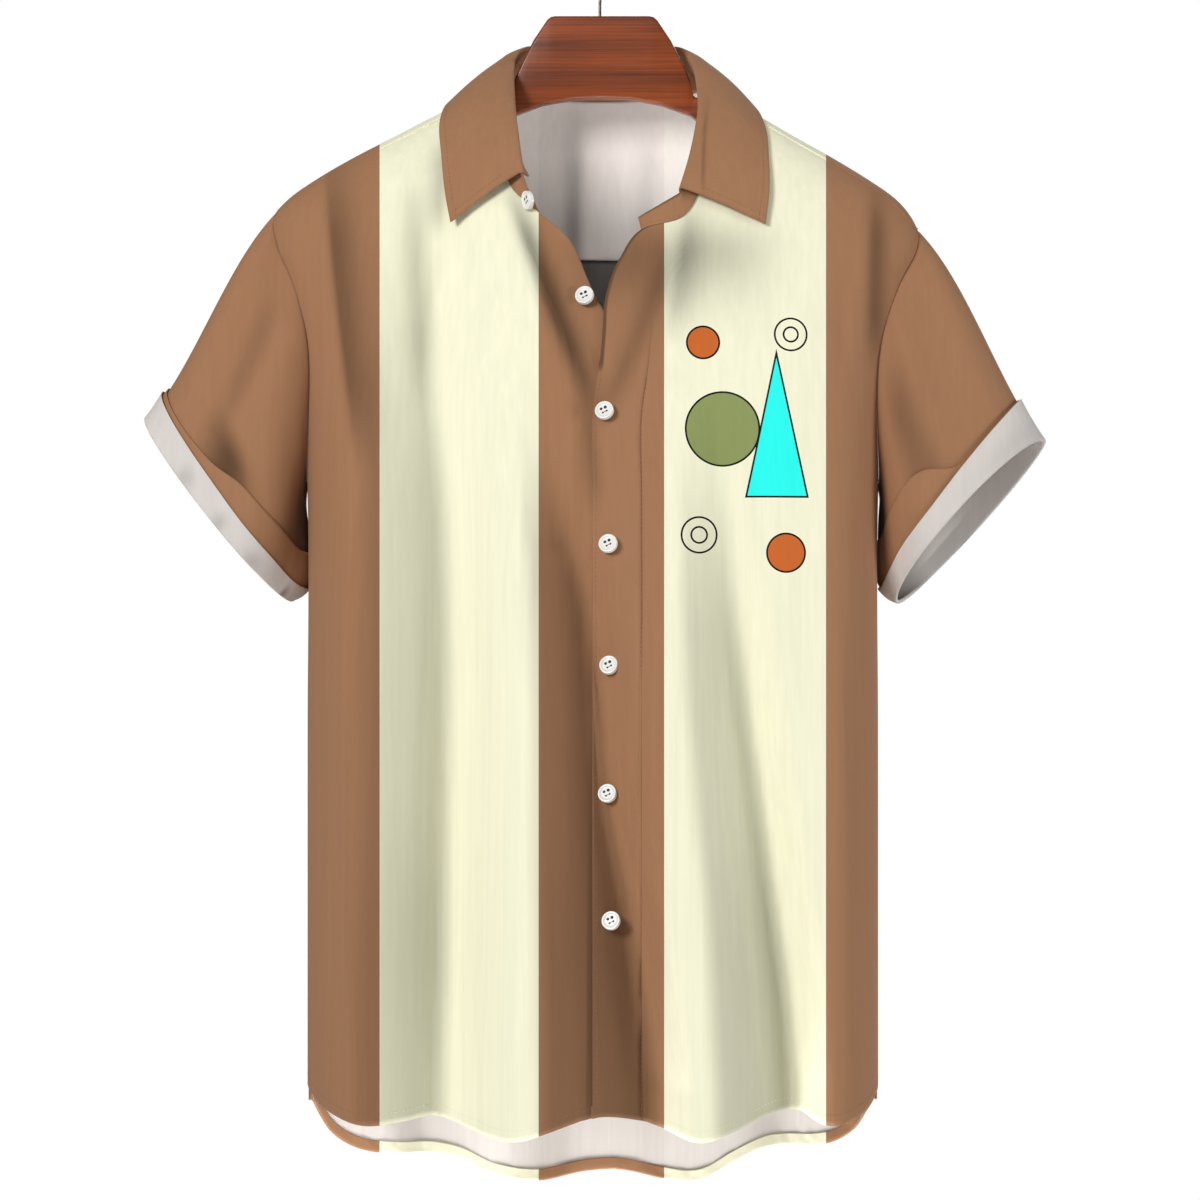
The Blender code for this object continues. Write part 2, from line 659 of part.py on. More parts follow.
def build_hook(collection):
    """A round wire hook. Its crown's inner side is at the origin."""
    crown = HOOK_WIRE / 2
    centre_z = crown - HOOK_RADIUS
    path = [(0, HANGER_TOP + SEAM_GAP), (0, -52), (0, -46), (2.4, -40.6), (7, -35.4)]
    for degrees in range(-45, 216, 13):
        angle = math.radians(degrees)
        path.append((HOOK_RADIUS * math.cos(angle), centre_z + HOOK_RADIUS * math.sin(angle)))
    curve = bpy.data.curves.new("hook", "CURVE")
    curve.dimensions = "3D"
    spline = curve.splines.new("POLY")
    spline.points.add(len(path) - 1)
    for point, (x, z) in zip(spline.points, path):
        point.co = (x * MM, 0, z * MM, 1)
    curve.bevel_depth = HOOK_WIRE / 2 * MM
    curve.bevel_resolution = 2
    curve.use_fill_caps = True
    new_object("hook", curve, "steel_wire", collection)


# ---------------------------------------------------------------- the garment

def build_body(collection):
    """The two fronts, the band on the over one, the back and the yoke."""
    under_angles, under_heights, neck_row = front_grid(
        -1, UNDER_EDGE, UNDER_NECK, UNDER_LAP, (0, 12, 26)
    )
    over_angles, over_heights, _ = front_grid(1, OVER_EDGE, OVER_NECK, OVER_LAP, (0, 11, BAND_WIDTH))
    x = on_body(-1, under_angles, under_heights)[..., 0]
    lap = smooth_step((x + 24) / 14) * smooth_step((-180 - under_heights) / 60)
    under = on_body(-1, under_angles, under_heights, LAP_STEP * lap)
    over = on_body(-1, over_angles, over_heights)
    cloth_sheet("front_right", under[:, ::-1], CLOTH, "cream_cotton", collection)
    cloth_sheet("front_left", over, CLOTH, "cream_cotton", collection)
    band = moved_out(over, BAND_CLOTH + SEAM_GAP)[:neck_row, :3]
    cloth_sheet("placket", band, BAND_CLOTH, "brown_cotton", collection)
    back = on_body(1, *back_grid())
    cloth_sheet("back", back[:, ::-1], CLOTH, "cream_cotton", collection)
    yoke = yoke_grid(under[-1], over[-1])
    cloth_sheet("yoke", yoke[:, ::-1], CLOTH, "cream_cotton", collection)
    return under, over, yoke, neck_row - 1


def main():
    for obj in list(bpy.data.objects):
        bpy.data.objects.remove(obj, do_unlink=True)
    collection = bpy.data.collections.new("Shirt")
    cutters = bpy.data.collections.new("Cutters")
    bpy.context.scene.collection.children.link(collection)
    bpy.context.scene.collection.children.link(cutters)
    under, over, yoke, neck_row = build_body(collection)
    line, place = neckline(under, over, yoke, neck_row)
    stand, fall = stand_grid(line, place), fall_grid(line, place)
    cloth_sheet("collar_stand", stand, COLLAR_CLOTH, "brown_cotton", collection)
    cloth_sheet("collar_fall", fall, COLLAR_CLOTH, "brown_cotton", collection)
    build_sleeve(-1, "right", collection)
    build_sleeve(1, "left", collection)
    seats = [("button_stand", STAND_BUTTON, STAND_BUTTON_FACING)]
    seats.append(("button_open", *body_seat(*OPEN_BUTTON, SEAM_GAP - LAP_STEP * 0.4)))
    above = BAND_CLOTH + 2.5 * SEAM_GAP
    for k, (x, height) in enumerate(BAND_BUTTONS, start=1):
        seats.append((f"button_{k}", *body_seat(x, height, above)))
    build_buttons(seats, collection, cutters)
    build_hanger(collection)
    build_hook(collection)


main()
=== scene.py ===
import math

import bmesh
import bpy
import numpy as np
from mathutils import Matrix, Vector


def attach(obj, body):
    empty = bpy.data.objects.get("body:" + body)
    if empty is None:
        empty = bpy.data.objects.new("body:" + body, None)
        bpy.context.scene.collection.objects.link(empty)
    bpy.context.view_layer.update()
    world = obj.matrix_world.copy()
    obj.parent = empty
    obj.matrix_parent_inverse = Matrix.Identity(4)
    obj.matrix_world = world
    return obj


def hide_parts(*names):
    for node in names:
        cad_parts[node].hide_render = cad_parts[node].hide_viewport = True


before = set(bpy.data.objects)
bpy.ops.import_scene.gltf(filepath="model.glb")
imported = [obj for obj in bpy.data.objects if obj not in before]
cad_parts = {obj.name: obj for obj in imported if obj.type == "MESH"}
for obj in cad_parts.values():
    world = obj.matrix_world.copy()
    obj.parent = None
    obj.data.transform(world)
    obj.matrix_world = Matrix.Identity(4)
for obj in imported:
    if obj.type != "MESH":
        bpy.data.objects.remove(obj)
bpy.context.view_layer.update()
bpy.ops.object.select_all(action="DESELECT")
mm = 0.001


# Colours and nodes

def hexColour(text):
    # sRGB hex to linear
    parts = [int(text[k:k + 2], 16) / 255 for k in (0, 2, 4)]
    linear = [p / 12.92 if p <= 0.04045 else ((p + 0.055) / 1.055) ** 2.4 for p in parts]
    return (*linear, 1)


def addNode(tree, kind, inputs=None, **settings):
    node = tree.nodes.new("ShaderNode" + kind)
    for name, value in settings.items():
        setattr(node, name, value)
    for name, value in (inputs or {}).items():
        if isinstance(value, bpy.types.NodeSocket):
            tree.links.new(value, node.inputs[name])
        else:
            node.inputs[name].default_value = value
    return node


def mottle(tree, shader, colour, scale, detail, low, high):
    # the colour wanders a little over the surface
    place = addNode(tree, "TexCoord")
    noise = addNode(tree, "TexNoise", {"Vector": place.outputs["Object"], "Scale": scale, "Detail": detail})
    shade = addNode(tree, "MapRange", {"Value": noise.outputs["Fac"], "To Min": low, "To Max": high})
    toned = addNode(tree, "VectorMath", {0: hexColour(colour)[:3], 1: shade.outputs[0]}, operation="MULTIPLY")
    tree.links.new(toned.outputs[0], shader.inputs["Base Color"])


def newMaterial(name, settings):
    material = bpy.data.materials.new(name)
    material.use_nodes = True
    tree = material.node_tree
    shader = tree.nodes["Principled BSDF"]
    for setting, value in settings.items():
        shader.inputs[setting].default_value = value
    return material, tree, shader


# The shirt's form: level sections of the body, in mm, from the top down
bodyForm = {
    # height, half width left, half width right, depth front, depth back, squareness
    "sections": np.array([
        (-900, 204, 194, 98, 98, 2.7), (-720, 204, 194, 96, 97, 2.7), (-560, 204, 194, 94, 95, 2.7),
        (-400, 204, 194, 90, 92, 2.7), (-340, 206, 196, 85, 88, 2.65), (-290, 211, 203, 78, 83, 2.6),
        (-250, 222, 215, 71, 77, 2.55), (-220, 231, 224, 66, 72, 2.5), (-204, 230, 219, 63, 69, 2.45),
        (-188, 217, 206, 60, 66, 2.4), (-174, 197, 186, 57, 63, 2.35), (-160, 173, 163, 53, 60, 2.3),
        (-146, 146, 138, 49, 56, 2.25), (-132, 119, 114, 45, 52, 2.2), (-110, 76, 74, 38, 44, 2.2),
        (-90, 38, 38, 30, 33, 2.2), (-70, 4, 4, 18, 20, 2.2),
    ], float),
    # the front's three deep folds, from the top down:
    # height, crest on the left, valley, crest on the right, drop from crest to valley
    "frontFolds": (
        np.array([
            (-800, -166, -108, -56, 42), (-671, -166, -105, -56, 41), (-535, -164, -103, -58, 35),
            (-400, -160, -107, -66, 22), (-333, -158, -114, -74, 16), (-231, -156, -119, -80, 10),
            (-180, -156, -122, -86, 1),
        ], float),
        np.array([
            (-800, -50, 37, 68, 34), (-738, -50, 28, 60, 33), (-671, -50, 17, 50, 30), (-603, -50, 4, 38, 26),
            (-535, -50, -2, 32, 22), (-468, -52, -12, 20, 17), (-400, -56, -32, -2, 10), (-333, -58, -42, -22, 4),
            (-260, -60, -44, -30, 0),
        ], float),
        np.array([
            (-800, 72, 134, 162, 32), (-738, 69, 128, 158, 32), (-671, 66, 118, 150, 31), (-603, 60, 108, 142, 29),
            (-535, 55, 98, 134, 25), (-468, 53, 89, 124, 18), (-400, 52, 84, 114, 10), (-320, 50, 76, 104, 2),
            (-270, 48, 70, 96, 0),
        ], float),
    ),
    # painted shade in the folds' valleys: top, full at, strength, where it is full on the way to the valley, lead
    # to the left
    "foldShade": ((-150, -420, 0.31, 0.34, 10), (-330, -470, 0.36, 0.24, 0), (-330, -500, 0.33, 0.26, 2)),
    "hemShade": (-580, -720, 0.3),      # from here down the painted fold shade grows, by this share at the most
    # smaller stretches of painted shade, laid out as the creases below: the last two numbers are darkness and bow
    "frontPaintedShades": (
        (-190, -140, -160, -395, 5, 24, 0.5, 3), (-107, -140, -112, -225, 12, 7, 0.34, 0),
        (-130, -165, -122, -345, 12, 13, 0.26, 0),
        (-68, -168, 2, -352, 8, 14, 0.7, 2), (-46, -236, 142, -228, 46, 30, 0.36, 0),
        (62, -180, 44, -300, 7, 20, 0.3, -3), (54, -215, -6, -360, 11, 11, 0.28, -2),
        (191, -170, 188, -320, 9, 12, 0.5, 0), (-10, -300, 0, -420, 9, 6, 0.22, 0),
    ),
    # painted shade on the inside of the yoke and back
    "insidePaintedShades": (
        (-15, -100, -16, -300, 13, 9, 0.34, 3), (34, -120, 30, -235, 14, 12, 0.16, -2),
    ),
    "frontLift": 10,      # how far the crests stand forward of the plain form at the hem
    "flankLift": ((-166, 34, 9), (164, 30, 9)),      # x, width each side, how far forward
    # upright folds: x at the top, x at the hem, top, full at, width left, width right, depth top, depth hem
    "backFolds": (
        (-118, -122, -230, -640, 34, 50, -4, -14), (-66, -60, -150, -560, 34, 38, 2, 13),
        (-12, -14, -140, -520, 36, 30, -4, -9), (36, 42, -150, -600, 30, 34, 2, 11),
        (74, 92, -160, -560, 30, 40, -4, -13), (136, 140, -260, -700, 34, 30, 3, 9),
    ),
    # smaller creases: from x, z to x, z, width each side, depth, how far the middle bows
    "frontCreases": (
        (-42, -236, -4, -352, 9, 16, -3.2, 3), (-30, -240, 2, -330, 10, 7, 1.6, 2),
        (44, -238, 2, -330, 16, 9, -2.6, -3), (30, -222, 6, -300, 8, 10, 1.2, -2),
        (-96, -205, -122, -360, 10, 14, -2.0, 6), (-168, -196, -158, -330, 7, 14, -1.6, -4),
        (180, -204, 166, -330, 12, 7, -1.8, 4), (88, -206, 74, -300, 12, 18, -2.2, -5),
        (-150, -420, -158, -760, 12, 18, 1.4, 3), (-176, -520, -182, -800, 9, 12, -2.0, 2),
        (168, -440, 174, -780, 10, 12, -2.2, -3), (60, -500, 52, -780, 12, 16, 1.3, 4),
        (-46, -560, -52, -800, 12, 10, -1.6, -3), (-102, -480, -100, -800, 6, 10, -1.8, 2),
        (96, -430, 128, -700, 7, 12, -1.6, 3), (20, -640, 22, -800, 8, 8, -1.0, 1),
    ),
    "backCreases": (
        (-40, -240, -70, -420, 10, 14, -1.6, 5), (48, -236, 84, -400, 12, 10, -1.8, -4),
        (-150, -300, -160, -700, 14, 12, -2.0, 6), (156, -330, 160, -720, 12, 14, -2.2, -5),
        (0, -430, 14, -800, 12, 14, -1.6, -4), (-96, -520, -88, -820, 9, 12, 1.5, 3),
        (112, -500, 118, -820, 10, 12, 1.4, -3), (-20, -300, -36, -560, 8, 10, 1.2, 3),
    ),
    "shoulderNotes": (74, -113, -226, 5.0),    # neck side x, back neck, back seam, front seam below the ridge
}


def curveThrough(at, places, values):
    # a smooth line through the values at their places, flat past the ends
    at = np.clip(np.asarray(at, float), places[0], places[-1])
    values = np.asarray(values, float)
    slopes = np.gradient(values, places, axis=0)
    row = np.clip(np.searchsorted(places, at) - 1, 0, len(places) - 2)
    step = places[row + 1] - places[row]
    t = (at - places[row]) / step
    extra = (None,) * (values.ndim - 1)
    step, t = step[(..., *extra)], t[(..., *extra)]
    blend = 3 * t**2 - 2 * t**3
    rising = slopes[row] * step * (t - 2 * t**2 + t**3) + slopes[row + 1] * step * (t**3 - t**2)
    return values[row] * (1 - blend) + values[row + 1] * blend + rising


def refine(grid, rows, columns):
    for axis, count in ((0, rows), (1, columns)):
        grid = np.moveaxis(grid, axis, 0)
        places = np.arange(len(grid), dtype=float)
        grid = curveThrough(np.linspace(0, places[-1], count), places, grid)
        grid = np.moveaxis(grid, 0, axis)
    return grid


def softStep(t):
    t = np.clip(t, 0, 1)
    return t * t * (3 - 2 * t)


def softRise(across):
    # 1 in the middle, 0 from 1 outwards
    return np.where(abs(across) < 1, 0.5 + 0.5 * np.cos(np.pi * across), 0)


def lengthAlong(line):
    return np.concatenate([[0], np.cumsum(np.linalg.norm(np.diff(line, axis=0), axis=1))])


def section(column, z):
    form = bodyForm["sections"]
    return curveThrough(z, form[:, 0], form[:, column])


def halfWidth(side, z):
    return np.where(np.asarray(side) < 0, section(1, z), section(2, z))


def depth(facing, z):
    return section(3 if facing < 0 else 4, z)


def waves(x, z, seed, sizeX, sizeZ):
    # soft unevenness between -1 and 1, the same on each run
    cells = np.random.default_rng(seed).uniform(-1, 1, (64, 64))
    u, v = np.asarray(x) / sizeX + 31.3, np.asarray(z) / sizeZ + 47.7
    i, j = np.floor(u).astype(int), np.floor(v).astype(int)
    a, b = softStep(u - i), softStep(v - j)
    i, j, i1, j1 = i % 64, j % 64, (i + 1) % 64, (j + 1) % 64
    low = cells[i, j] * (1 - a) + cells[i1, j] * a
    return low * (1 - b) + (cells[i, j1] * (1 - a) + cells[i1, j1] * a) * b


def foldShift(folds, x, z):
    shift = np.zeros_like(x)
    for xTop, xHem, top, full, left, right, depthTop, depthHem in folds:
        along = np.clip((top - z) / (top + 850), 0, 1)
        grown = depthTop + (depthHem - depthTop) * softStep((top - z) / (top - full))
        across = x - xTop - (xHem - xTop) * along
        across = across / np.where(across < 0, left, right)
        shift += grown * softStep((top + 30 - z) / 60) * softRise(across)
    return shift


def frontFoldShift(x, z):
    # the cloth falls away slowly to the right of each crest and comes forward again past the valley
    grown = softStep((-200 - z) / 420)
    shift = bodyForm["frontLift"] * grown * softStep((206 - abs(x)) / 40)
    for middle, width, forward in bodyForm["flankLift"]:
        shift = shift + forward * grown * softStep(1 - abs(x - middle) / width)
    for table in bodyForm["frontFolds"]:
        left, valley, right, drop = (curveThrough(z, table[:, 0], table[:, k]) for k in (1, 2, 3, 4))
        falling = np.clip((valley - x) / (valley - left), 0, 1)
        rising = np.clip((x - valley) / (right - valley), 0, 1)
        # a few mm of rounding at the valley
        falling = np.maximum(falling, 0.10 * np.exp(-((x - valley) / 6) ** 2))
        shape = np.where(x < valley, (1 - falling) ** 1.45, 0.905 * softRise(rising))
        shift = shift - drop * shape
    return shift


def frontFoldShade(x, z):
    # painted shade that goes with the front's folds: quick from the crest, gone soon after the valley
    shade = np.zeros_like(x)
    start, end, more = bodyForm["hemShade"]
    grown = 1 + more * softStep((start - z) / (start - end))
    for table, (top, full, strength, onset, lead) in zip(bodyForm["frontFolds"], bodyForm["foldShade"]):
        left, valley = (curveThrough(z, table[:, 0], table[:, k]) for k in (1, 2))
        along = (x - left + lead) / (valley - left + lead)
        shape = grown * softStep(along / onset) * (0.85 + 0.15 * softStep(along))
        shape = shape * softStep((valley + 9 - x) / 16)
        shade = np.maximum(shade, strength * shape * softStep((top - z) / (top - full)))
    return 1 - (1 - shade) * (1 - np.clip(creaseShift(bodyForm["frontPaintedShades"], x, z), 0, 0.75))


def insideShade(x, z, lower):
    # painted shade: the wall behind the neck darkens downwards, and most below the yoke's seam
    seam = bodyForm["shoulderNotes"][2]
    above, fade = (9, 4) if lower else (2.6, 1.4)
    low = 0.40 * softStep((-140 - z) / 70) + 0.5 * softStep((seam + above - z) / fade)
    shade = np.clip(creaseShift(bodyForm["insidePaintedShades"], x, z), 0, 0.5) + low
    return np.clip(shade, 0, 0.92) * softStep((z + 470) / 120)


def creaseShift(creases, x, z):
    shift = np.zeros_like(x)
    for x0, z0, x1, z1, left, right, deep, bow in creases:
        dx, dz = x1 - x0, z1 - z0
        length = math.hypot(dx, dz)
        along = ((x - x0) * dx + (z - z0) * dz) / length**2
        off = ((z - z0) * dx - (x - x0) * dz) / length + bow * 4 * along * (1 - along)
        window = softStep(along * 3) * softStep((1 - along) * 3)
        shift += deep * window * np.exp(-2 * (off / np.where(off < 0, left, right)) ** 2)
    return shift


def onBody(facing, angle, z, inset=0.0, creased=True):
    # points on the shirt's body, angle 0 is the middle of this facing
    angle, z = np.broadcast_arrays(np.asarray(angle, float), np.asarray(z, float))
    power = 2 / section(5, z)
    x = halfWidth(angle, z) * np.sign(angle) * abs(np.sin(angle)) ** power
    shift = frontFoldShift(x, z) if facing < 0 else foldShift(bodyForm["backFolds"], x, z)
    if creased:
        shift = shift + creaseShift(bodyForm["frontCreases" if facing < 0 else "backCreases"], x, z)
        shift = shift + 0.7 * waves(x, z, 5 + facing, 34, 150) + 0.25 * waves(x, z, 9 + facing, 13, 60)
    shift = shift * np.minimum(1, 2.2 * abs(np.cos(angle)))
    y = facing * (depth(facing, z) * abs(np.cos(angle)) ** power + shift - inset)
    return np.stack([x, y, z], axis=-1)


def angleAtX(x, z):
    ratio = np.clip(abs(x) / halfWidth(x, z), 0, 1)
    return np.sign(x) * np.arcsin(ratio ** (section(5, z) / 2))


def angleAtY(side, y, facing, z):
    ratio = np.clip(abs(y) / depth(facing, z), 0, 1)
    return side * np.arccos(ratio ** (section(5, z) / 2))


def ridge(x):
    # height of the shoulder's ridge
    heights = np.linspace(-204, -72, 265)
    left, right = halfWidth(-1, heights), halfWidth(1, heights)
    x = np.asarray(x, float)
    overLeft = np.interp(abs(x), left[::-1], heights[::-1])
    return np.where(x < 0, overLeft, np.interp(abs(x), right[::-1], heights[::-1]))


armholeForm = {"halfDepth": 33, "top": {-1: -194, 1: -208}, "underarm": -388}
sideGap = 0.02      # half the gap at the side seams


def armhole(side, turn):
    top, low = armholeForm["top"][side], armholeForm["underarm"]
    turn = np.radians(turn)
    return armholeForm["halfDepth"] * np.sin(turn), (top + low) / 2 + (top - low) / 2 * np.cos(turn)


def armholeTurn(side, z):
    top, low = armholeForm["top"][side], armholeForm["underarm"]
    return np.degrees(np.arccos(np.clip((np.asarray(z) - (top + low) / 2) / ((top - low) / 2), -1, 1)))


# Grids of cloth

def unit(vectors):
    return vectors / np.maximum(np.linalg.norm(vectors, axis=-1, keepdims=True), 1e-9)


def normalsOf(points):
    return unit(np.cross(np.gradient(points, axis=1), np.gradient(points, axis=0)))


def movedOut(points, distance):
    return points + normalsOf(points) * np.asarray(distance)[..., None]


def movedRound(points, distance, side):
    wrapped = np.concatenate([points[:, -2:], points, points[:, :2]], axis=1)
    return points + normalsOf(wrapped)[:, 2:-2] * side * np.asarray(distance)[..., None]


def gridArea(points, closed=False):
    if closed:
        points = np.concatenate([points, points[:, :1]], axis=1)
    a = points[1:, 1:] - points[:-1, :-1]
    b = points[1:, :-1] - points[:-1, 1:]
    return float(np.linalg.norm(np.cross(a, b), axis=-1).sum() / 2e6)


def meshPiece(name, vertices, faces, materials):
    mesh = bpy.data.meshes.new(name)
    mesh.from_pydata((np.asarray(vertices, float).reshape(-1, 3) * mm).tolist(), [], faces)
    for material in materials:
        mesh.materials.append(material)
    mesh.shade_smooth()
    piece = bpy.data.objects.new(name, mesh)
    bpy.context.scene.collection.objects.link(piece)
    return piece


def makeActive(piece):
    bpy.ops.object.select_all(action="DESELECT")
    piece.select_set(True)
    bpy.context.view_layer.objects.active = piece


def applyAll(piece):
    makeActive(piece)
    for modifier in list(piece.modifiers):
        bpy.ops.object.modifier_apply(modifier=modifier.name)
    piece.select_set(False)


def clothPiece(name, points, thickness, materials, nodes, closed=False, rim=0, paintedShades=None):
    # a sheet with its printed face at the points and a thin wall behind it
    rows, count = points.shape[:2]
    first = np.arange(count if closed else count - 1)
    after = (first + 1) % count
    start = np.arange(rows - 1)[:, None] * count
    corners = (start + first, start + after, start + count + after, start + count + first)
    faces = np.stack(corners, axis=-1).reshape(-1, 4).tolist()
    piece = meshPiece(name, points, faces, materials)
    step = np.linalg.norm(np.diff(points, axis=1), axis=-1).mean(axis=0)
    across = np.concatenate([[0], np.cumsum(step)])
    step = np.linalg.norm(np.diff(points, axis=0), axis=-1).mean(axis=1)
    down = np.concatenate([[0], np.cumsum(step)])
    if closed:
        across = np.concatenate([across, [across[-1] + across[1]]])
    layer = piece.data.uv_layers.new(name="clothMap")
    k = np.broadcast_to(first, (rows - 1, len(first)))
    r = np.broadcast_to(np.arange(rows - 1)[:, None], k.shape)
    u = np.stack([across[k], across[k + 1], across[k + 1], across[k]], axis=-1)
    v = np.stack([down[r], down[r], down[r + 1], down[r + 1]], axis=-1)
    layer.data.foreach_set("uv", (np.stack([u, v], axis=-1) * mm).astype(np.float32).ravel())
    # each painted shade is stored on the points, and the materials darken the colour by it
    for paintedShadeName, tone in (paintedShades or {}).items():
        held = piece.data.attributes.new(paintedShadeName, "FLOAT", "POINT")
        held.data.foreach_set("value", np.asarray(tone, np.float32).ravel())
    wall = piece.modifiers.new("Wall", "SOLIDIFY")
    wall.thickness = thickness * mm
    wall.offset = -1
    wall.material_offset = 1 if len(materials) > 1 else 0
    wall.material_offset_rim = rim
    applyAll(piece)
    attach(piece, "root")
    if nodes:
        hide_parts(*nodes)
    return piece


# Cotton poplin, woven plain and printed on its face: matt, with a slight sheen at grazing angles.
stripeLook = {
    "brown": "a27655", "cream": "f6f4d6", "reverse": "ece6e1",
    "surface": {"Roughness": 0.88, "Specular IOR Level": 0.2, "Sheen Weight": 0.06, "Sheen Roughness": 0.5},
    "streak": 0.03,      # how much the ink's tone wanders along the threads
    "showThrough": 0.06,      # how much of the print shows on the reverse
    # stripe edges in mm at the hanger's depth, brown outside the first and last
    "edges": (-156.1, -43.4, 44.8, 158.2),
    "threadPitch": 0.9,      # the real 0.25 mm is too fine to show, so the weave is drawn coarser
    # the print on the chest: colours, outline in mm, discs (x, z, radius), a triangle and open rings
    "orange": "cd692e", "olive": "8d995e", "turquoise": "2cfdf2", "outline": "15120f", "line": 1.3,
    "discs": ((83, -352, 25, "olive"), (70, -293, 11, "orange"), (126, -436, 13, "orange")),
    "triangle": ((120, -300), (99, -398), (141, -398)),
    "rings": ((130, -287, 11), (67, -424, 12)),
}


def addMotif(tree, colour, distance, fill):
    # paints what lies inside the outline, where distance is negative, and then the outline
    if fill:
        inside = addNode(tree, "Math", {0: distance, 1: 0.0}, operation="LESS_THAN")
        painted = addNode(
            tree, "Mix", {"Factor": inside.outputs[0], "A": colour, "B": hexColour(stripeLook[fill])},
            data_type="RGBA",
        )
        colour = painted.outputs["Result"]
    away = addNode(tree, "Math", {0: distance}, operation="ABSOLUTE")
    line = addNode(tree, "Math", {0: away.outputs[0], 1: stripeLook["line"] / 2 * mm}, operation="LESS_THAN")
    drawn = addNode(
        tree, "Mix", {"Factor": line.outputs[0], "A": colour, "B": hexColour(stripeLook["outline"])},
        data_type="RGBA",
    )
    return drawn.outputs["Result"]


def chestPrint(tree, colour, apart):
    flat = addNode(tree, "CombineXYZ", {"X": apart.outputs["X"], "Z": apart.outputs["Z"]}).outputs[0]

    def fromCentre(x, z, radius):
        reach = addNode(tree, "VectorMath", {0: flat, 1: (x * mm, 0, z * mm)}, operation="DISTANCE")
        return addNode(
            tree, "Math", {0: reach.outputs["Value"], 1: radius * mm}, operation="SUBTRACT"
        ).outputs[0]

    corners = stripeLook["triangle"]
    distance = None
    for k, (x, z) in enumerate(corners):
        nextX, nextZ = corners[(k + 1) % 3]
        length = math.hypot(nextX - x, nextZ - z)
        across = ((nextZ - z) / length, 0, -(nextX - x) / length)
        along = addNode(tree, "VectorMath", {0: flat, 1: across}, operation="DOT_PRODUCT")
        edge = addNode(
            tree, "Math", {0: along.outputs["Value"], 1: (across[0] * x + across[2] * z) * mm},
            operation="SUBTRACT",
        ).outputs[0]
        if distance is not None:
            edge = addNode(tree, "Math", {0: distance, 1: edge}, operation="MAXIMUM").outputs[0]
        distance = edge
    colour = addMotif(tree, colour, distance, "turquoise")
    for x, z, radius, fill in stripeLook["discs"]:
        colour = addMotif(tree, colour, fromCentre(x, z, radius), fill)
    for x, z, radius in stripeLook["rings"]:
        colour = addMotif(tree, colour, fromCentre(x, z, radius), None)
        colour = addMotif(tree, colour, fromCentre(x, z, radius * 0.45), None)
    return colour


def cottonMaterial(name, striped, reverse=False, chest=False, tone=1.0):
    material, tree, shader = newMaterial(name, stripeLook["surface"])
    place = addNode(tree, "TexCoord")
    apart = addNode(tree, "SeparateXYZ", {"Vector": place.outputs["Object"]})
    brown, cream = hexColour(stripeLook["brown"]), hexColour(stripeLook["cream"])
    if striped:
        # the stripes spread a little from the front to the back
        spread = addNode(tree, "Math", {0: apart.outputs["Y"], 1: 2.6}, operation="DIVIDE")
        spread = addNode(tree, "Math", {0: spread.outputs[0], 1: 1.0}, operation="ADD")
        flat = addNode(tree, "Math", {0: apart.outputs["X"], 1: spread.outputs[0]}, operation="DIVIDE")
        share = addNode(tree, "MapRange", {"Value": flat.outputs[0], "From Min": -0.25, "From Max": 0.25})
        ramp = addNode(tree, "ValToRGB", {"Fac": share.outputs[0]})
        ramp.color_ramp.interpolation = "CONSTANT"
        stops = ramp.color_ramp.elements
        stops[0].position, stops[0].color = 0, brown
        stops[1].position, stops[1].color = (stripeLook["edges"][0] + 250) / 500, cream
        for edge, colour in zip(stripeLook["edges"][1:], (brown, cream, brown)):
            stops.new((edge + 250) / 500).color = colour
        colour = ramp.outputs["Color"]
    else:
        colour = brown
    if chest:
        colour = chestPrint(tree, colour, apart)
    if reverse:
        colour = addNode(
            tree, "Mix",
            {"Factor": stripeLook["showThrough"], "A": hexColour(stripeLook["reverse"]), "B": colour},
            data_type="RGBA",
        ).outputs["Result"]
    # slubs and ink streaks run with the upright threads
    stretched = addNode(tree, "Mapping", {"Vector": place.outputs["Object"], "Scale": (260, 260, 9)})
    streak = addNode(tree, "TexNoise", {"Vector": stretched.outputs[0], "Scale": 1.0, "Detail": 3.0})
    streaksAndPaintedShade = addNode(tree, "MapRange", {
        "Value": streak.outputs["Fac"], "From Min": 0.3, "From Max": 0.7,
        "To Min": tone * (1 - stripeLook["streak"]), "To Max": tone * (1 + stripeLook["streak"]),
    })
    # painted shade darkens the colour where the folds fall away, and on the reverse also inside the neck
    for paintedShadeName in ("foldShade", "insideShade") if reverse else ("foldShade",):
        held = addNode(tree, "Attribute", attribute_name=paintedShadeName)
        kept = addNode(tree, "Math", {0: 1.0, 1: held.outputs["Fac"]}, operation="SUBTRACT")
        streaksAndPaintedShade = addNode(tree, "Math", {0: streaksAndPaintedShade.outputs[0], 1: kept.outputs[0]}, operation="MULTIPLY")
    colour = colour[:3] if isinstance(colour, tuple) else colour
    toned = addNode(tree, "VectorMath", {0: colour, 1: streaksAndPaintedShade.outputs[0]}, operation="MULTIPLY")
    tree.links.new(toned.outputs[0], shader.inputs["Base Color"])
    cloth = addNode(tree, "UVMap", uv_map="clothMap")
    bandScale = 2 * math.pi / (20 * stripeLook["threadPitch"] * mm)
    warp, weft = (
        addNode(tree, "TexWave", {"Vector": cloth.outputs[0], "Scale": bandScale}, bands_direction=way)
        for way in ("X", "Y")
    )
    weave = addNode(tree, "Math", {0: warp.outputs["Fac"], 1: weft.outputs["Fac"]}, operation="ADD")
    bump = addNode(tree, "Bump", {"Height": weave.outputs[0], "Strength": 0.10, "Distance": 0.0001})
    tree.links.new(bump.outputs[0], shader.inputs["Normal"])
    return material


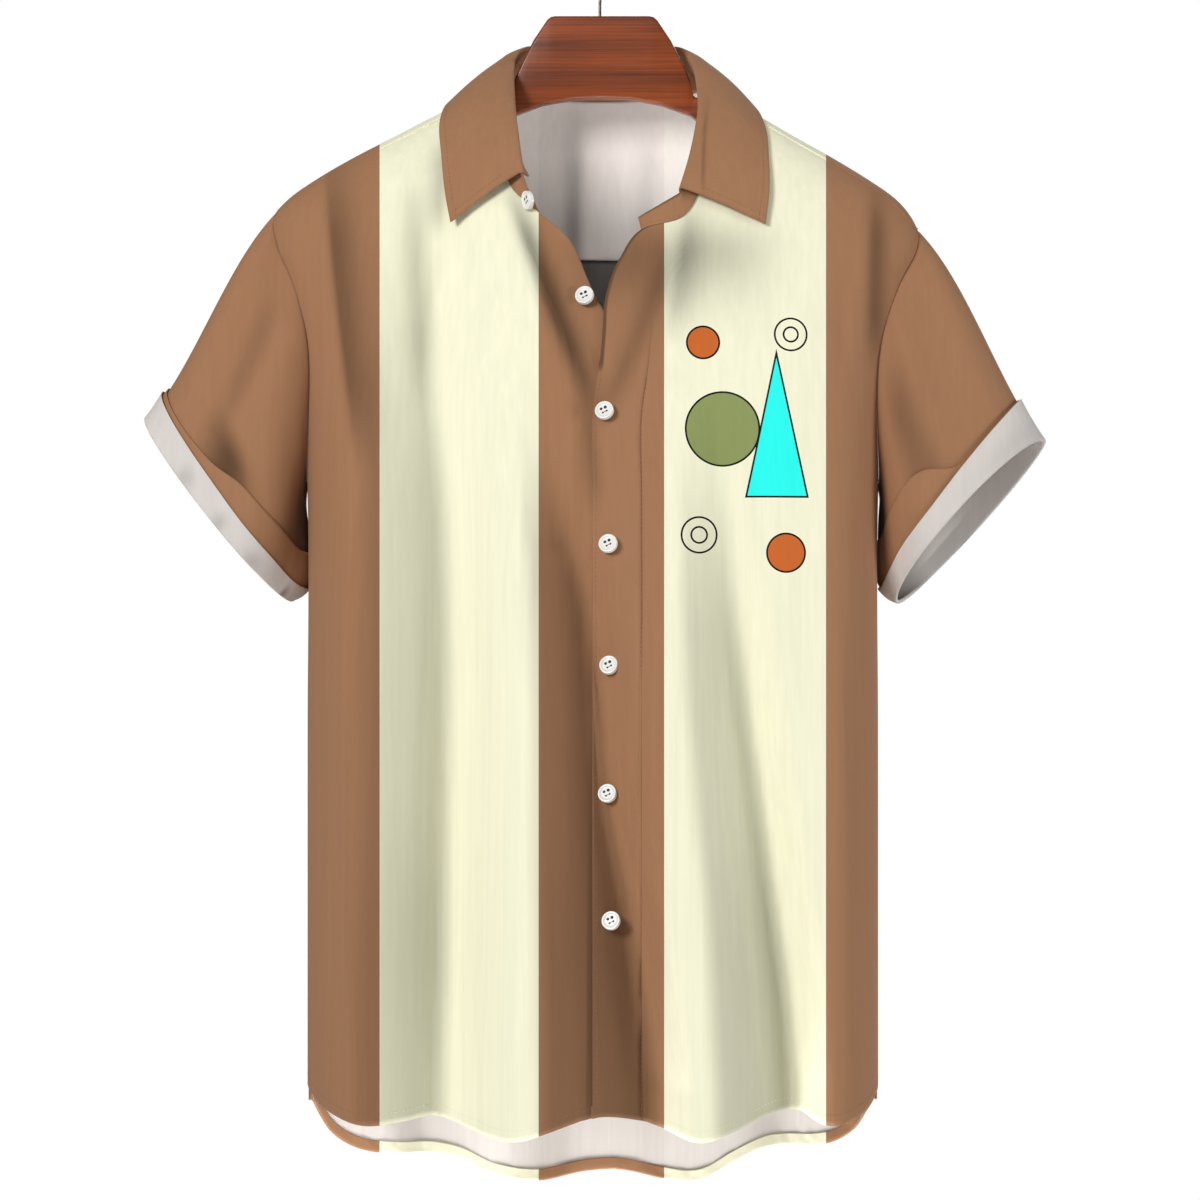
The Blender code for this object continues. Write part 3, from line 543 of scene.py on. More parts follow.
printedCotton = cottonMaterial("printed_cotton_poplin", striped=True)
chestCotton = cottonMaterial("printed_cotton_poplin_with_motifs", striped=True, chest=True)
reverseCotton = cottonMaterial("cotton_poplin_reverse", striped=True, reverse=True)
brownCotton = cottonMaterial("brown_cotton_poplin", striped=False)
brownReverse = cottonMaterial("brown_cotton_reverse", striped=False, reverse=True, tone=0.84)


def threadMaterial(name, colour):
    # spun polyester sewing thread: a soft sheen along each stitch
    material, tree, shader = newMaterial(name, {"Roughness": 0.55})
    mottle(tree, shader, colour, 1500.0, 2.0, 0.82, 1.12)
    return material


brownThread = threadMaterial("brown_polyester_thread", "94694a")
darkThread = threadMaterial("black_polyester_thread", "1d1814")
print("materials made")


# Fronts, back and yoke
frontForm = {
    "underEdge": ((19, -388), (18, -340), (11, -300), (3, -272), (-10, -246), (-26, -215), (-42, -203)),
    "underNeck": ((-42, -203), (-57, -191), (-66, -170), (-72, -145), (-74, -115)),
    "overEdge": ((-5, -388), (-5, -340), (-1, -311), (3, -275), (7, -246), (17, -230), (28, -215)),
    "overNeck": ((28, -215), (48, -212), (63, -199), (72, -173), (75, -145), (74, -115)),
    "hem": ((-206, -802), (-197, -811), (-176, -820), (-150, -824), (-112, -820), (-85, -828),
            (-58, -832), (-30, -828), (-5, -818), (30, -822), (68, -833), (98, -824), (128, -814),
            (152, -824), (172, -821), (188, -813), (196, -802)),
    "underLap": 19, "overLap": -5, "bandWidth": 33, "lapStep": 3.0, "thickness": 0.7,
    "lowRows": 15, "edgeRows": 8, "neckRows": 5, "finer": 8,      # rows placed one by one, then made finer
}
backForm = {
    "hem": ((-206, -812), (-197, -838), (-183, -856), (-162, -865), (-110, -868), (-92, -876),
            (-70, -889), (-40, -890), (-14, -881), (24, -884), (66, -891), (86, -882), (102, -869),
            (130, -863), (158, -860), (172, -854), (186, -838), (196, -812)),
}


def lineOf(rows, count):
    points = np.array(rows, float)
    run = np.concatenate([[0], np.cumsum(np.hypot(*np.diff(points, axis=0).T))])
    places = np.linspace(0, 1, count) * run[-1]
    return curveThrough(places, run, points[:, 0]), curveThrough(places, run, points[:, 1])


def hemHeight(rows, x):
    table = np.array(rows, float)
    return curveThrough(x, table[:, 0], table[:, 1])


def frontGrid(side, edge, neck, lapX, near):
    lowRows, edgeRows, neckRows, finer = (frontForm[key] for key in ("lowRows", "edgeRows", "neckRows", "finer"))
    wide = 11
    spread = np.linspace(0, 1, wide + 1)[1:] ** 0.95
    near = np.array(near, float)
    underarm = armholeForm["underarm"]
    rows = []

    def rowAngles(firstX, firstZ, lastAngle):
        angles = angleAtX(firstX + side * near, firstZ)
        return np.concatenate([angles, angles[-1] + (lastAngle - angles[-1]) * spread])

    angles = rowAngles(lapX, -600, float(angleAtY(side, sideGap, -1, -600)))
    hemZ = hemHeight(frontForm["hem"], onBody(-1, angles, -800, creased=False)[:, 0])
    for share in np.linspace(1, 0, lowRows)[:-1]:
        rows.append((angles, hemZ * share + underarm * (1 - share)))
    edgeX, edgeZ = lineOf(edge, edgeRows)
    neckX, neckZ = lineOf(neck, neckRows)
    inner = list(zip(np.concatenate([edgeX, neckX[1:]]), np.concatenate([edgeZ, neckZ[1:]])))
    drop = bodyForm["shoulderNotes"][3]
    seamTurn = float(armholeTurn(side, armholeForm["top"][side] - drop))
    for k, turn in enumerate(np.linspace(180, seamTurn, len(inner))):
        x, z = inner[k]
        y, height = armhole(side, turn)
        outer = float(angleAtY(side, max(y, sideGap), -1, height))
        if k < edgeRows:
            angles = rowAngles(x, z, outer)
            share = (angles - angles[0]) / (angles[-1] - angles[0])
        first = float(angleAtX(x, z))
        angles = first + (outer - first) * share
        heights = z + (height - z) * share
        cornerX = float(onBody(-1, outer, height, creased=False)[0])
        seamX = x + (cornerX - x) * share
        seam = ridge(seamX) - drop
        seam = seam + (z - seam[0]) * (1 - share) ** 6 + (height - seam[-1]) * share**6
        topShare = (k / (len(inner) - 1)) ** 6
        seamAngles = angleAtX(seamX, seam)
        seamAngles[0], seamAngles[-1] = first, outer
        angles = angles + (seamAngles - angles) * topShare
        rows.append((angles, heights + (seam - heights) * topShare))
    grid = np.stack([np.array(part) for part in zip(*rows)], axis=-1)
    return refine(grid, (len(rows) - 1) * finer + 1, (grid.shape[1] - 1) * finer + 1)


def backGrid():
    lowRows, highRows, count = 15, 8, 24
    spread = np.linspace(-1, 1, count + 1)
    sideAngle = float(angleAtY(1, sideGap, 1, -600))
    seam, underarm = bodyForm["shoulderNotes"][2] + 2, armholeForm["underarm"]
    rows = []
    for share in np.linspace(1, 0, lowRows)[:-1]:
        angles = spread * sideAngle
        x = onBody(1, angles, -800, creased=False)[:, 0]
        rows.append((angles, hemHeight(backForm["hem"], x) * share + underarm * (1 - share)))
    for step in np.linspace(0, 1, highRows):
        ends = {}
        for side in (-1, 1):
            turn = 180 + (float(armholeTurn(side, seam)) - 180) * step
            y, height = armhole(side, turn)
            ends[side] = (float(angleAtY(1, max(y, sideGap), 1, height)), float(height))
        middle = underarm + (seam - underarm) * step
        endZ = np.where(spread < 0, ends[-1][1], ends[1][1])
        rows.append((np.where(spread < 0, ends[-1][0], ends[1][0]) * spread, middle + (endZ - middle) * spread**2))
    grid = np.stack([np.array(part) for part in zip(*rows)], axis=-1)
    return refine(grid, (len(rows) - 1) * 8 + 1, count * 7 + 1)


def yokeGrid(underSeam, overSeam, rows=44):
    neckSide, backNeck, seam, _ = bodyForm["shoulderNotes"]
    neckX = np.linspace(-neckSide + 2, neckSide - 2, 45)
    starts = [(x, z - 1.0, -1) for x, _, z in underSeam[::-1]]
    starts += [(x, backNeck + 3.5 * (x / neckSide) ** 2, 1) for x in neckX]
    starts += [(x, z - 1.0, -1) for x, _, z in overSeam]
    lines = []
    for k, (x, startZ, startFacing) in enumerate(starts):
        side = -1 if x < 0 else 1
        atEnd = k in (0, len(starts) - 1)
        top = armholeForm["top"][side] + 0.2 if atEnd else float(ridge(x))
        start = startFacing * math.sqrt(max(top - startZ, 0) / (top - seam))
        step = np.linspace(start, 1, rows)
        z = top - (top - seam) * step * step
        line = np.zeros((rows, 3))
        for facing in (-1, 1):
            part = (step < 0) if facing < 0 else (step >= 0)
            if atEnd:
                y, _ = armhole(side, armholeTurn(side, z))
                angle = angleAtY(side, y, facing, z)
            else:
                angle = angleAtX(x, z)
            line[part] = onBody(facing, angle, z, creased=False)[part]
        lines.append(line)
    return np.array(lines).transpose(1, 0, 2)[::-1]


def frontPoints(side):
    if side < 0:
        grid = frontGrid(-1, frontForm["underEdge"], frontForm["underNeck"], frontForm["underLap"], (0, 12, 26))
    else:
        near = (0, 11, frontForm["bandWidth"])
        grid = frontGrid(1, frontForm["overEdge"], frontForm["overNeck"], frontForm["overLap"], near)
    angles, heights = grid[..., 0], grid[..., 1]
    inset = 0
    if side < 0:
        x = onBody(-1, angles, heights, creased=False)[..., 0]
        inset = frontForm["lapStep"] * softStep((x + 24) / 14) * softStep((-180 - heights) / 60)
    return onBody(-1, angles, heights, inset)


under, over = frontPoints(-1), frontPoints(1)
thin = frontForm["thickness"]
# painted shade in the front's folds and creases
underShade = frontFoldShade(under[..., 0], under[..., 2])
overShade = frontFoldShade(over[..., 0], over[..., 2])
# painted shadow along the open neck's edge
overShade[:, :2] = np.maximum(overShade[:, :2], 0.6 * softStep((over[:, :2, 2] + 316) / 8))
frontRight = clothPiece(
    "frontRight", under[:, ::-1], thin, [printedCotton, reverseCotton], ["front_right"],
    paintedShades={"foldShade": underShade[:, ::-1]},
)
frontLeft = clothPiece(
    "frontLeft", over, thin, [chestCotton, reverseCotton], ["front_left"], paintedShades={"foldShade": overShade}
)
backAngles = backGrid()
back = onBody(1, backAngles[..., 0], backAngles[..., 1], 0.4 * softStep((backAngles[..., 1] + 234) / 6))
# painted shade inside the back, and along its top edge under the yoke
backInside = insideShade(back[..., 0], back[..., 2], lower=True)
paintedShadeUnderYoke = 0.9 * softStep((back[..., 2] - bodyForm["shoulderNotes"][2]) / 1.0)      # painted shade on the back's top edge under the yoke
backPanel = clothPiece(
    "backPanel", back[:, ::-1], thin, [printedCotton, reverseCotton], ["back"],
    paintedShades={"foldShade": paintedShadeUnderYoke[:, ::-1], "insideShade": backInside[:, ::-1]},
)
yoke = movedOut(yokeGrid(under[-1], over[-1])[:, ::-1], 0.5)[:, ::-1]
# painted shade: the front's fold shade on the yoke's front, and darker inside behind the neck
yokeOutside = np.where(yoke[..., 1] < 0, frontFoldShade(yoke[..., 0], yoke[..., 2]), 0)
yokeInside = insideShade(yoke[..., 0], yoke[..., 2], lower=False)
yokePanel = clothPiece(
    "yokePanel", yoke[:, ::-1], thin, [printedCotton, reverseCotton], ["yoke"],
    paintedShades={"foldShade": yokeOutside[:, ::-1], "insideShade": yokeInside[:, ::-1]},
)
print("fronts", gridArea(under), gridArea(over), "back", gridArea(back), "yoke", gridArea(yoke))


# the row of the fronts where the open edge ends and the neckline starts
neckRow = frontForm["finer"] * (frontForm["lowRows"] + frontForm["edgeRows"] - 2)


# Placket band, folded to the outside along the over front's edge
placketForm = {"raised": 0.42, "thickness": 0.4, "columns": 17, "fadeRows": 40}
bandRow = np.arange(neckRow + 1)[:, None]
sunk = softStep((bandRow - neckRow + placketForm["fadeRows"]) / placketForm["fadeRows"])
band = over[:neckRow + 1, :placketForm["columns"]]
band = movedOut(band, placketForm["raised"] - 0.9 * sunk + 0 * band[..., 0])
placketBand = clothPiece(
    "placketBand", band, placketForm["thickness"], [printedCotton, reverseCotton], ["placket"],
    paintedShades={"foldShade": overShade[:neckRow + 1, :placketForm["columns"]]},
)


# Hems turned up on the inside, with the printed face showing and small puckers
hemForm = {"height": 8.5, "inside": 1.65, "pucker": 0.45, "thickness": 0.6}


def lineAt(points, distance, values=None):
    # the line a set distance in from the first row, or the values there
    values = points if values is None else values
    run = np.linalg.norm(np.diff(points, axis=0), axis=-1)
    run = np.concatenate([np.zeros((1, points.shape[1])), np.cumsum(run, axis=0)])
    return np.array([
        [np.interp(distance, run[:, k], values[:, k, axis]) for axis in range(3)] for k in range(points.shape[1])
    ])


def foldedHem(name, points, seed):
    normals = normalsOf(points)
    height, inside = hemForm["height"], hemForm["inside"]
    steps = [(0.0, 0.35), (0.0, 1.1), (0.5, inside)]
    steps += [(share * height, inside) for share in (0.2, 0.35, 0.5, 0.65, 0.8, 0.93, 1.0)]
    rows = []
    for up, deep in steps:
        line = lineAt(points, up)
        puckers = waves(line[:, 0] * 1.5 + line[:, 2], line[:, 2], seed, 7, 11)
        push = deep + hemForm["pucker"] * puckers * min(up / 3, 1)
        rows.append(line - normals[0] * push[:, None])
    strip = np.array(rows)
    piece = clothPiece(name, strip[:, ::-1], hemForm["thickness"], [printedCotton], [])
    return piece


hemRight = foldedHem("hemRight", under[:, ::-1], 21)
hemLeft = foldedHem("hemLeft", over, 22)
hemBack = foldedHem("hemBack", back[:, ::-1], 23)


# Collar
collarForm = {
    # place along the neckline, fold line x y z, outer edge x y z, bulge
    "sections": np.array([
        (-228, -54, -65, -178, -102, -67, -211, 1), (-205, -57, -57, -158, -106, -60, -190, 2),
        (-175, -60, -42, -134, -109, -49, -163, 4), (-145, -62, -24, -113, -111, -34, -139, 5),
        (-115, -62, -6, -96, -107, -4, -121, 4), (-85, -55, 17, -82, -99, 24, -121, 3),
        (-45, -32, 41, -77, -58, 50, -127, 5), (0, 0, 49, -76, 0, 55, -126, 6),
        (45, 33, 41, -78, 60, 50, -127, 5), (85, 58, 17, -82, 101, 22, -124, 3),
        (115, 67, -4, -96, 109, -4, -124, 4), (145, 70, -24, -117, 115, -30, -142, 5),
        (175, 69, -40, -137, 116, -47, -163, 4), (205, 64, -53, -162, 116, -59, -187, 2),
        (232, 56, -65, -189, 113, -65, -212, 1),
    ], float),
    "standTip": (26, -59, -206),
    "leafPaintedShades": ((75, -112, 70, -200, 1.6, 2.6, 0.32, 1.5), (-60, -60, -58, -150, 2.5, 3, 0.14, 0)),
    "standThickness": 1.2, "leafThickness": 1.3,
}


def collarLine(columns, place):
    table = collarForm["sections"]
    return curveThrough(place, table[:, 0], table[:, columns])


def neckLine():
    neckSide = bodyForm["shoulderNotes"][0]
    inside = [k for k in range(yoke.shape[1]) if abs(yoke[-1, k, 0]) < neckSide - 1 and yoke[-1, k, 1] > 0]
    line = np.concatenate([under[neckRow:, 0], yoke[-1, inside], over[neckRow:, 0][::-1]])
    run = lengthAlong(line)
    middle = run[int(np.argmin(abs(line[:, 0]) + (line[:, 1] < 0) * 1000))]
    return line, run - middle


neck, neckPlace = neckLine()
standPlace = np.linspace(neckPlace[0], neckPlace[-1], 190)
standFoot = np.stack([np.interp(standPlace, neckPlace, neck[:, k]) for k in range(3)], axis=-1)
standTop = collarLine(slice(1, 4), standPlace)
lastPlace = collarForm["sections"][-1, 0]
past = np.clip((standPlace - lastPlace) / (standPlace[-1] - lastPlace), 0, 1)[:, None]
standTop = standTop + (np.array(collarForm["standTip"], float) - standTop) * past
shares = np.linspace(0.0, 1, 14)[:, None, None]
stand = standFoot + (standTop - standFoot) * shares
# painted shade along the top edge of the stand's left side
standShade = 0.55 * softStep((shares[..., 0] - 0.86) / 0.1) * softStep((stand[..., 0] - 22) / 10)
collarStand = clothPiece(
    "collarStand", stand[:, ::-1], collarForm["standThickness"], [brownCotton], ["collar_stand"],
    paintedShades={"foldShade": standShade[:, ::-1]},
)

leafPlace = np.linspace(collarForm["sections"][0, 0] + 1, lastPlace - 1, 170)
roll, edge = collarLine(slice(1, 4), leafPlace), collarLine(slice(4, 7), leafPlace)
bulge = collarLine(7, leafPlace)[:, None]
foot = np.stack([np.interp(leafPlace, neckPlace, neck[:, k]) for k in range(3)], axis=-1)
tangent = unit(np.gradient(roll, axis=0))
rise = roll - foot
rise = unit(rise - tangent * np.sum(rise * tangent, axis=1, keepdims=True))
away = np.cross(rise, tangent)
outward = unit(roll * np.array([1, 1, 0]))
up = np.array([0, 0, 1.0])
leafRows = [roll - rise * 7 - away * 2.7, roll - rise * 3 - away * 2.7, roll + rise * 0.6 - away * 2.5]
leafRows += [roll + rise * 2.2 - away * 1.2, roll + rise * 2.5 + away * 1.0]
for share in (0.08, 0.16, 0.3, 0.42, 0.55, 0.68, 0.8, 0.9, 1.0):
    lift = math.sin(math.pi * share**0.75)
    clear = 2.4 * (1 - share)
    leafRows.append(roll + (edge - roll) * share + (outward * 0.8 + up * 0.6) * bulge * lift
                    + (away * 1.6 + rise * 0.5) * clear)
leaf = refine(np.array(leafRows), (len(leafRows) - 1) * 4 + 1, 170)
# painted shade in creases on the front of the collar
leafShade = np.where(leaf[..., 1] < 0, creaseShift(collarForm["leafPaintedShades"], leaf[..., 0], leaf[..., 2]), 0)
collarLeaf = clothPiece(
    "collarLeaf", leaf, collarForm["leafThickness"], [brownCotton], ["collar_fall"], paintedShades={"foldShade": leafShade}
)
print("collar", gridArea(stand), gridArea(leaf))


# Sleeves, each one sheet that turns up into its cuff
sleeveForm = {
    # outer corner x z, inner corner x z, half depth, tilt, sag
    -1: {"end": (-316, -341, -216, -467, 40, -5, -1), "cuff": ((0, 24), (90, 18), (180, 13), (270, 22), (360, 24)),
         "strip": ((0, 4), (60, 5), (77, 8), (96, 16), (116, 18.5), (150, 21), (180, 23), (270, 9), (360, 4)),
         "folds": ((62, 60, 0.0, 0.75, 26, -7), (112, 118, 0.25, 1.0, 34, 6), (250, 244, 0.1, 0.9, 34, -7),
                   (180, 180, 0.2, 0.97, 26, 3.4), (206, 204, 0.45, 0.995, 34, 7.5)),
         # painted shade in the sleeve's folds and in the gap by the body, then painted shadow in small gaps on the
         # cuff
         "paintedShades": ((158, 148, 0.02, 1.0, 34, 0.6), (188, 180, 0.12, 1.0, 38, 0.92), (60, 92, 0.6, 1.0, 30, 0.66),
                   (60, 70, 0.05, 0.75, 12, 0.2), (150, 150, 0.0, 0.5, 12, 0.2)),
         "cuffPaintedShades": ((70, 5, 0.22), (98, 4, 0.24), (122, 5, 0.2), (156, 3, 0.5))},
    1: {"end": (310, -357, 208, -468, 40, 12, 3), "cuff": ((0, 36), (90, 18), (180, 14), (270, 30), (360, 36)),
        "strip": ((0, 0.5), (70, 0.5), (80, 3), (97, 20), (130, 26), (180, 26), (270, 10), (360, 0.5)),
        "folds": ((54, 66, 0.0, 0.8, 24, -6), (120, 112, 0.3, 1.0, 34, 5), (246, 252, 0.1, 0.9, 32, -7),
                  (180, 180, 0.15, 0.97, 26, 3.4), (206, 204, 0.45, 0.995, 34, 9)),
        # painted shade in the sleeve's folds and in the gap by the body, then painted shadow in small gaps on the
        # cuff
        "paintedShades": ((184, 182, 0.02, 1.0, 52, 0.9), (92, 100, 0.02, 1.0, 21, 0.32), (160, 164, 0.0, 0.6, 18, 0.3)),
        "cuffPaintedShades": ((30, 40, 0.16), (262, 8, 0.3), (225, 9, 0.25))},
    "foldRadius": 0.8, "flare": 1.2,
}


def armholePoints(side, turns):
    points = []
    for turn in turns:
        facing = -1 if turn <= 180 else 1
        y, z = armhole(side, turn if turn <= 180 else 360 - turn)
        points.append(onBody(facing, float(angleAtY(side, abs(y), facing, z)), z, creased=False))
    return np.array(points)


def sleevePoints(side, turns, share):
    outerX, outerZ, innerX, innerZ, halfDepth, tilt, sag = sleeveForm[side]["end"]
    turn = np.radians(turns)[:, None]
    outer, inner = np.array([outerX, 0, outerZ], float), np.array([innerX, 0, innerZ], float)
    half = (outer - inner) / 2
    axis = unit(np.array([side * abs(half[2]), 0, -abs(half[0])]))
    start = armholePoints(side, turns)
    end = (outer + inner) / 2 + half * np.cos(turn) - np.array([0, halfDepth, 0]) * np.sin(turn)
    end = end - axis * (tilt * np.sin(turn) + sag * abs(np.sin(turn)))
    chord = np.linalg.norm(end - start, axis=1, keepdims=True)
    leave = unit(np.concatenate(
        [side * (0.46 + 0.22 * np.cos(turn)), -0.42 * np.sin(turn), -0.82 + 0.15 * np.cos(turn)], axis=1
    ))
    arrive = unit(axis + np.array([0, 0, -0.25]))
    start = start - leave * 0.6
    t = np.asarray(share, float)
    if t.ndim == 1:
        t = np.repeat(t[:, None], len(turns), axis=1)
    s = t[..., None]
    points = (
        start * (2 * s**3 - 3 * s**2 + 1) + leave * chord * 0.9 * (s**3 - 2 * s**2 + s)
        + end * (3 * s**2 - 2 * s**3) + arrive * chord * 0.85 * (s**3 - s**2)
    )
    shift = -0.5 * (1 - softStep(t / 0.03))
    for angle, angleHem, first, last, width, deep in sleeveForm[side]["folds"]:
        part = np.clip((t - first) / (last - first), 0, 1)
        across = abs(np.asarray(turns)[None, :] - angle - (angleHem - angle) * t) / width
        window = np.sin(math.pi * part) ** 0.7 if last < 1 else softStep(part * 1.6)
        shift = shift + deep * window * softRise(across)
    return movedRound(points, shift, side), chord[:, 0]


def sleeveShade(side, turns, share):
    # painted shade in the sleeve's folds and in the gap by the body: turn at the armhole, turn at the end, first,
    # last, width, darkness
    kept = np.ones((len(share), len(turns)))
    for angle, angleHem, first, last, width, dark in sleeveForm[side]["paintedShades"]:
        part = np.clip((share - first) / (last - first), 0, 1)[:, None]
        across = abs(turns[None, :] - angle - (angleHem - angle) * share[:, None]) / width
        window = softStep(part * 3) * (softStep((1 - part) * 3) if last < 1 else 1)
        kept *= 1 - dark * window * softRise(across)
    return 1 - kept


def cuffShade(side, turns, rows):
    # painted shadow in small gaps on the cuff: turn, width, darkness
    kept = np.ones((rows, len(turns)))
    up = np.linspace(0, 1, rows)[:, None]
    for angle, width, dark in sleeveForm[side]["cuffPaintedShades"]:
        kept *= 1 - dark * np.exp(-((turns[None, :] - angle) / width) ** 2) * softStep((0.9 - up) / 0.5)
    return 1 - kept


def sleeveSheet(side):
    turns = np.linspace(0, 360, 240, endpoint=False)
    body, chord = sleevePoints(side, turns, np.linspace(0, 1, 84))
    table = np.array(sleeveForm[side]["cuff"], float)
    height = curveThrough(turns, table[:, 0], table[:, 1])
    radius = sleeveForm["foldRadius"]
    shares = np.linspace(0, 1, 18)[:, None]
    cuffBase, _ = sleevePoints(side, turns, 1 - (1 - shares) * height / chord)
    cuff = movedRound(cuffBase, 2 * radius + sleeveForm["flare"] * (1 - shares) + 0 * chord, side)[::-1]
    bend = []
    tip = body[-1]
    direction = unit(body[-1] - body[-3])
    outwards = unit(cuff[0] - tip)
    for angle in np.linspace(0, math.pi, 9)[1:-1]:
        bend.append(tip + direction * radius * math.sin(angle) + outwards * radius * (1 - math.cos(angle)))
    # the turned edge of the hem lies on the sleeve, from under the band up
    table = np.array(sleeveForm[side]["strip"], float)
    width = np.maximum(curveThrough(turns, table[:, 0], table[:, 1]), 0.3)
    shares = np.linspace(1, 0, 12)[:, None]
    stripBase, _ = sleevePoints(side, turns, 1 - (height - 3 + (width + 3) * shares) / chord)
    strip = movedRound(stripBase, 1.9 - 0.5 * shares + 0 * chord, side)
    # painted shade on the sleeve and on its cuff
    shade = sleeveShade(side, turns, np.linspace(0, 1, len(body)))
    shade = np.concatenate([shade, cuffShade(side, turns, len(bend) + len(cuff))])
    return np.concatenate([body, np.array(bend), cuff]), strip, shade


sleeves, edgings = {}, {}
for side, name in ((-1, "Right"), (1, "Left")):
    sheet, strip, shade = sleeveSheet(side)
    nodes = ["sleeve_" + name.lower(), "cuff_" + name.lower()]
    materials = [brownCotton, brownReverse]
    sleeves[side] = clothPiece(
        "sleeve" + name, sheet[::side], thin, materials, nodes, closed=True, paintedShades={"foldShade": shade[::side]}
    )
    edging = clothPiece("cuffEdge" + name, strip[::side], 0.6, [brownCotton], [], closed=True)
    edgings[side] = edging
    print("sleeve", name, gridArea(sheet, True))


# Buttons of cast polyester resin, turned and drilled: white, smooth, with a soft gloss
buttonForm = {
    "radius": 6.4, "height": 3.5, "rimWidth": 1.4, "recess": 0.7, "roundness": 0.5,
    # holes: direction in degrees, reach from the middle, radius
    "holes": ((73, 2.2, 1.15), (159, 2.3, 1.05), (253, 2.1, 0.7), (343, 2.0, 0.7)),
    "facing": (-0.3, -1.0, 0.4),      # the buttons hang a little and look up
    "colour": "f2f1ec", "surface": {"Roughness": 0.28, "IOR": 1.55, "Coat Weight": 0.3, "Coat Roughness": 0.12},
    # x, z, how far the middle stands off the cloth
    "bandSeats": ((3, -340, 3.6), (5.5, -430, 3.6), (6, -512, 3.6), (5, -599, 4.0), (7.5, -685, 5.6)),
    "openSeat": (-10.5, -261, 2.2), "standSeat": (-49.5, -64.5, -195), "standFacing": (-0.86, -0.46, -0.1),
}


def resinMaterial():
    material, tree, shader = newMaterial("white_polyester_resin", buttonForm["surface"])
    mottle(tree, shader, buttonForm["colour"], 260.0, 3.0, 0.93, 1.03)
    return material


def editStart(piece):
    bpy.context.view_layer.objects.active = piece
    bpy.ops.object.mode_set(mode="EDIT")
    bpy.ops.mesh.select_mode(type="FACE")
    bpy.ops.mesh.select_all(action="DESELECT")
    return bmesh.from_edit_mesh(piece.data)


def addCylinder(radius, height, place, vertices):
    bpy.ops.object.select_all(action="DESELECT")
    bpy.ops.mesh.primitive_cylinder_add(
        vertices=vertices, radius=radius * mm, depth=height * mm, location=[value * mm for value in place]
    )
    return bpy.context.object


def addRounding(piece, width, segments, degrees):
    rounding = piece.modifiers.new("Rounding", "BEVEL")
    rounding.width, rounding.segments = width * mm, segments
    rounding.limit_method, rounding.angle_limit = "ANGLE", math.radians(degrees)


def smoothBelow(piece, degrees):
    makeActive(piece)
    bpy.ops.object.shade_smooth_by_angle(angle=math.radians(degrees))
    piece.select_set(False)


def holePlace(turn, reach, height=0):
    turn = math.radians(turn)
    return reach * math.cos(turn), reach * math.sin(turn), height


def turnedButton(material):
    form = buttonForm
    button = addCylinder(form["radius"], form["height"], (0, 0, 0), 48)
    edit = editStart(button)
    for face in edit.faces:
        face.select = face.normal.z > 0.9
    bpy.ops.mesh.inset(thickness=form["rimWidth"] * mm, depth=0)
    bpy.ops.mesh.inset(thickness=0.5 * mm, depth=-form["recess"] * mm)
    bpy.ops.mesh.inset(thickness=0.6 * mm, depth=0)
    bpy.ops.object.mode_set(mode="OBJECT")
    addRounding(button, form["roundness"], 3, 35)
    cutters = []
    for turn, reach, radius in form["holes"]:
        cutter = addCylinder(radius, 3 * form["height"], holePlace(turn, reach), 16)
        drill = button.modifiers.new("Drill", "BOOLEAN")
        drill.object, drill.operation, drill.solver = cutter, "DIFFERENCE", "EXACT"
        cutters.append(cutter)
    applyAll(button)
    for cutter in cutters:
        bpy.data.objects.remove(cutter, do_unlink=True)
    button.data.materials.append(material)
    smoothBelow(button, 32)
    return button


def sewnThread(material):
    # dark thread: a stub in each hole and a bar over the lower pair
    form = buttonForm
    stubs = []
    for turn, reach, radius in form["holes"]:
        stubs.append(addCylinder(radius * 0.97, form["height"] - 1.0, holePlace(turn, reach, -0.45), 12))
    ends = [Vector(holePlace(turn, reach)) for turn, reach, _ in form["holes"] if turn > 200]
    bar = addCylinder(0.17, (ends[1] - ends[0]).length, (0, 0, 0), 8)
    bar.rotation_euler = (ends[1] - ends[0]).to_track_quat("Z", "Y").to_euler()
    bar.location = ((ends[0] + ends[1]) / 2 + Vector((0, 0, form["height"] / 2 - form["recess"] + 0.12))) * mm
    stubs.append(bar)
    bpy.ops.object.select_all(action="DESELECT")
    for stub in stubs:
        stub.select_set(True)
        for polygon in stub.data.polygons:
            polygon.use_smooth = abs(polygon.normal.z) < 0.5
    bpy.context.view_layer.objects.active = stubs[0]
    bpy.ops.object.join()
    bpy.ops.object.transform_apply(location=True, rotation=True, scale=True)
    thread = bpy.context.object
    thread.data.materials.append(material)
    thread.select_set(False)
    return thread


def placedCopy(pattern, name, place, facing):
    copy = pattern.copy()
    copy.data = pattern.data.copy()
    copy.name = copy.data.name = name
    turn = Vector(facing).to_track_quat("Z", "Y").to_matrix().to_4x4()
    upright = turn.inverted() @ Vector((0, 0, 1))      # keeps the holes the same way up on each button
    spin = Matrix.Rotation(math.atan2(upright.y, upright.x) - math.pi / 2, 4, "Z")
    copy.data.transform(Matrix.Translation(Vector(place) * mm) @ turn @ spin)
    bpy.context.scene.collection.objects.link(copy)
    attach(copy, "root")
    return copy


def bodyPoint(x, z, out):
    point = onBody(-1, angleAtX(x, z), z)
    return point + np.array([0, -out, 0])


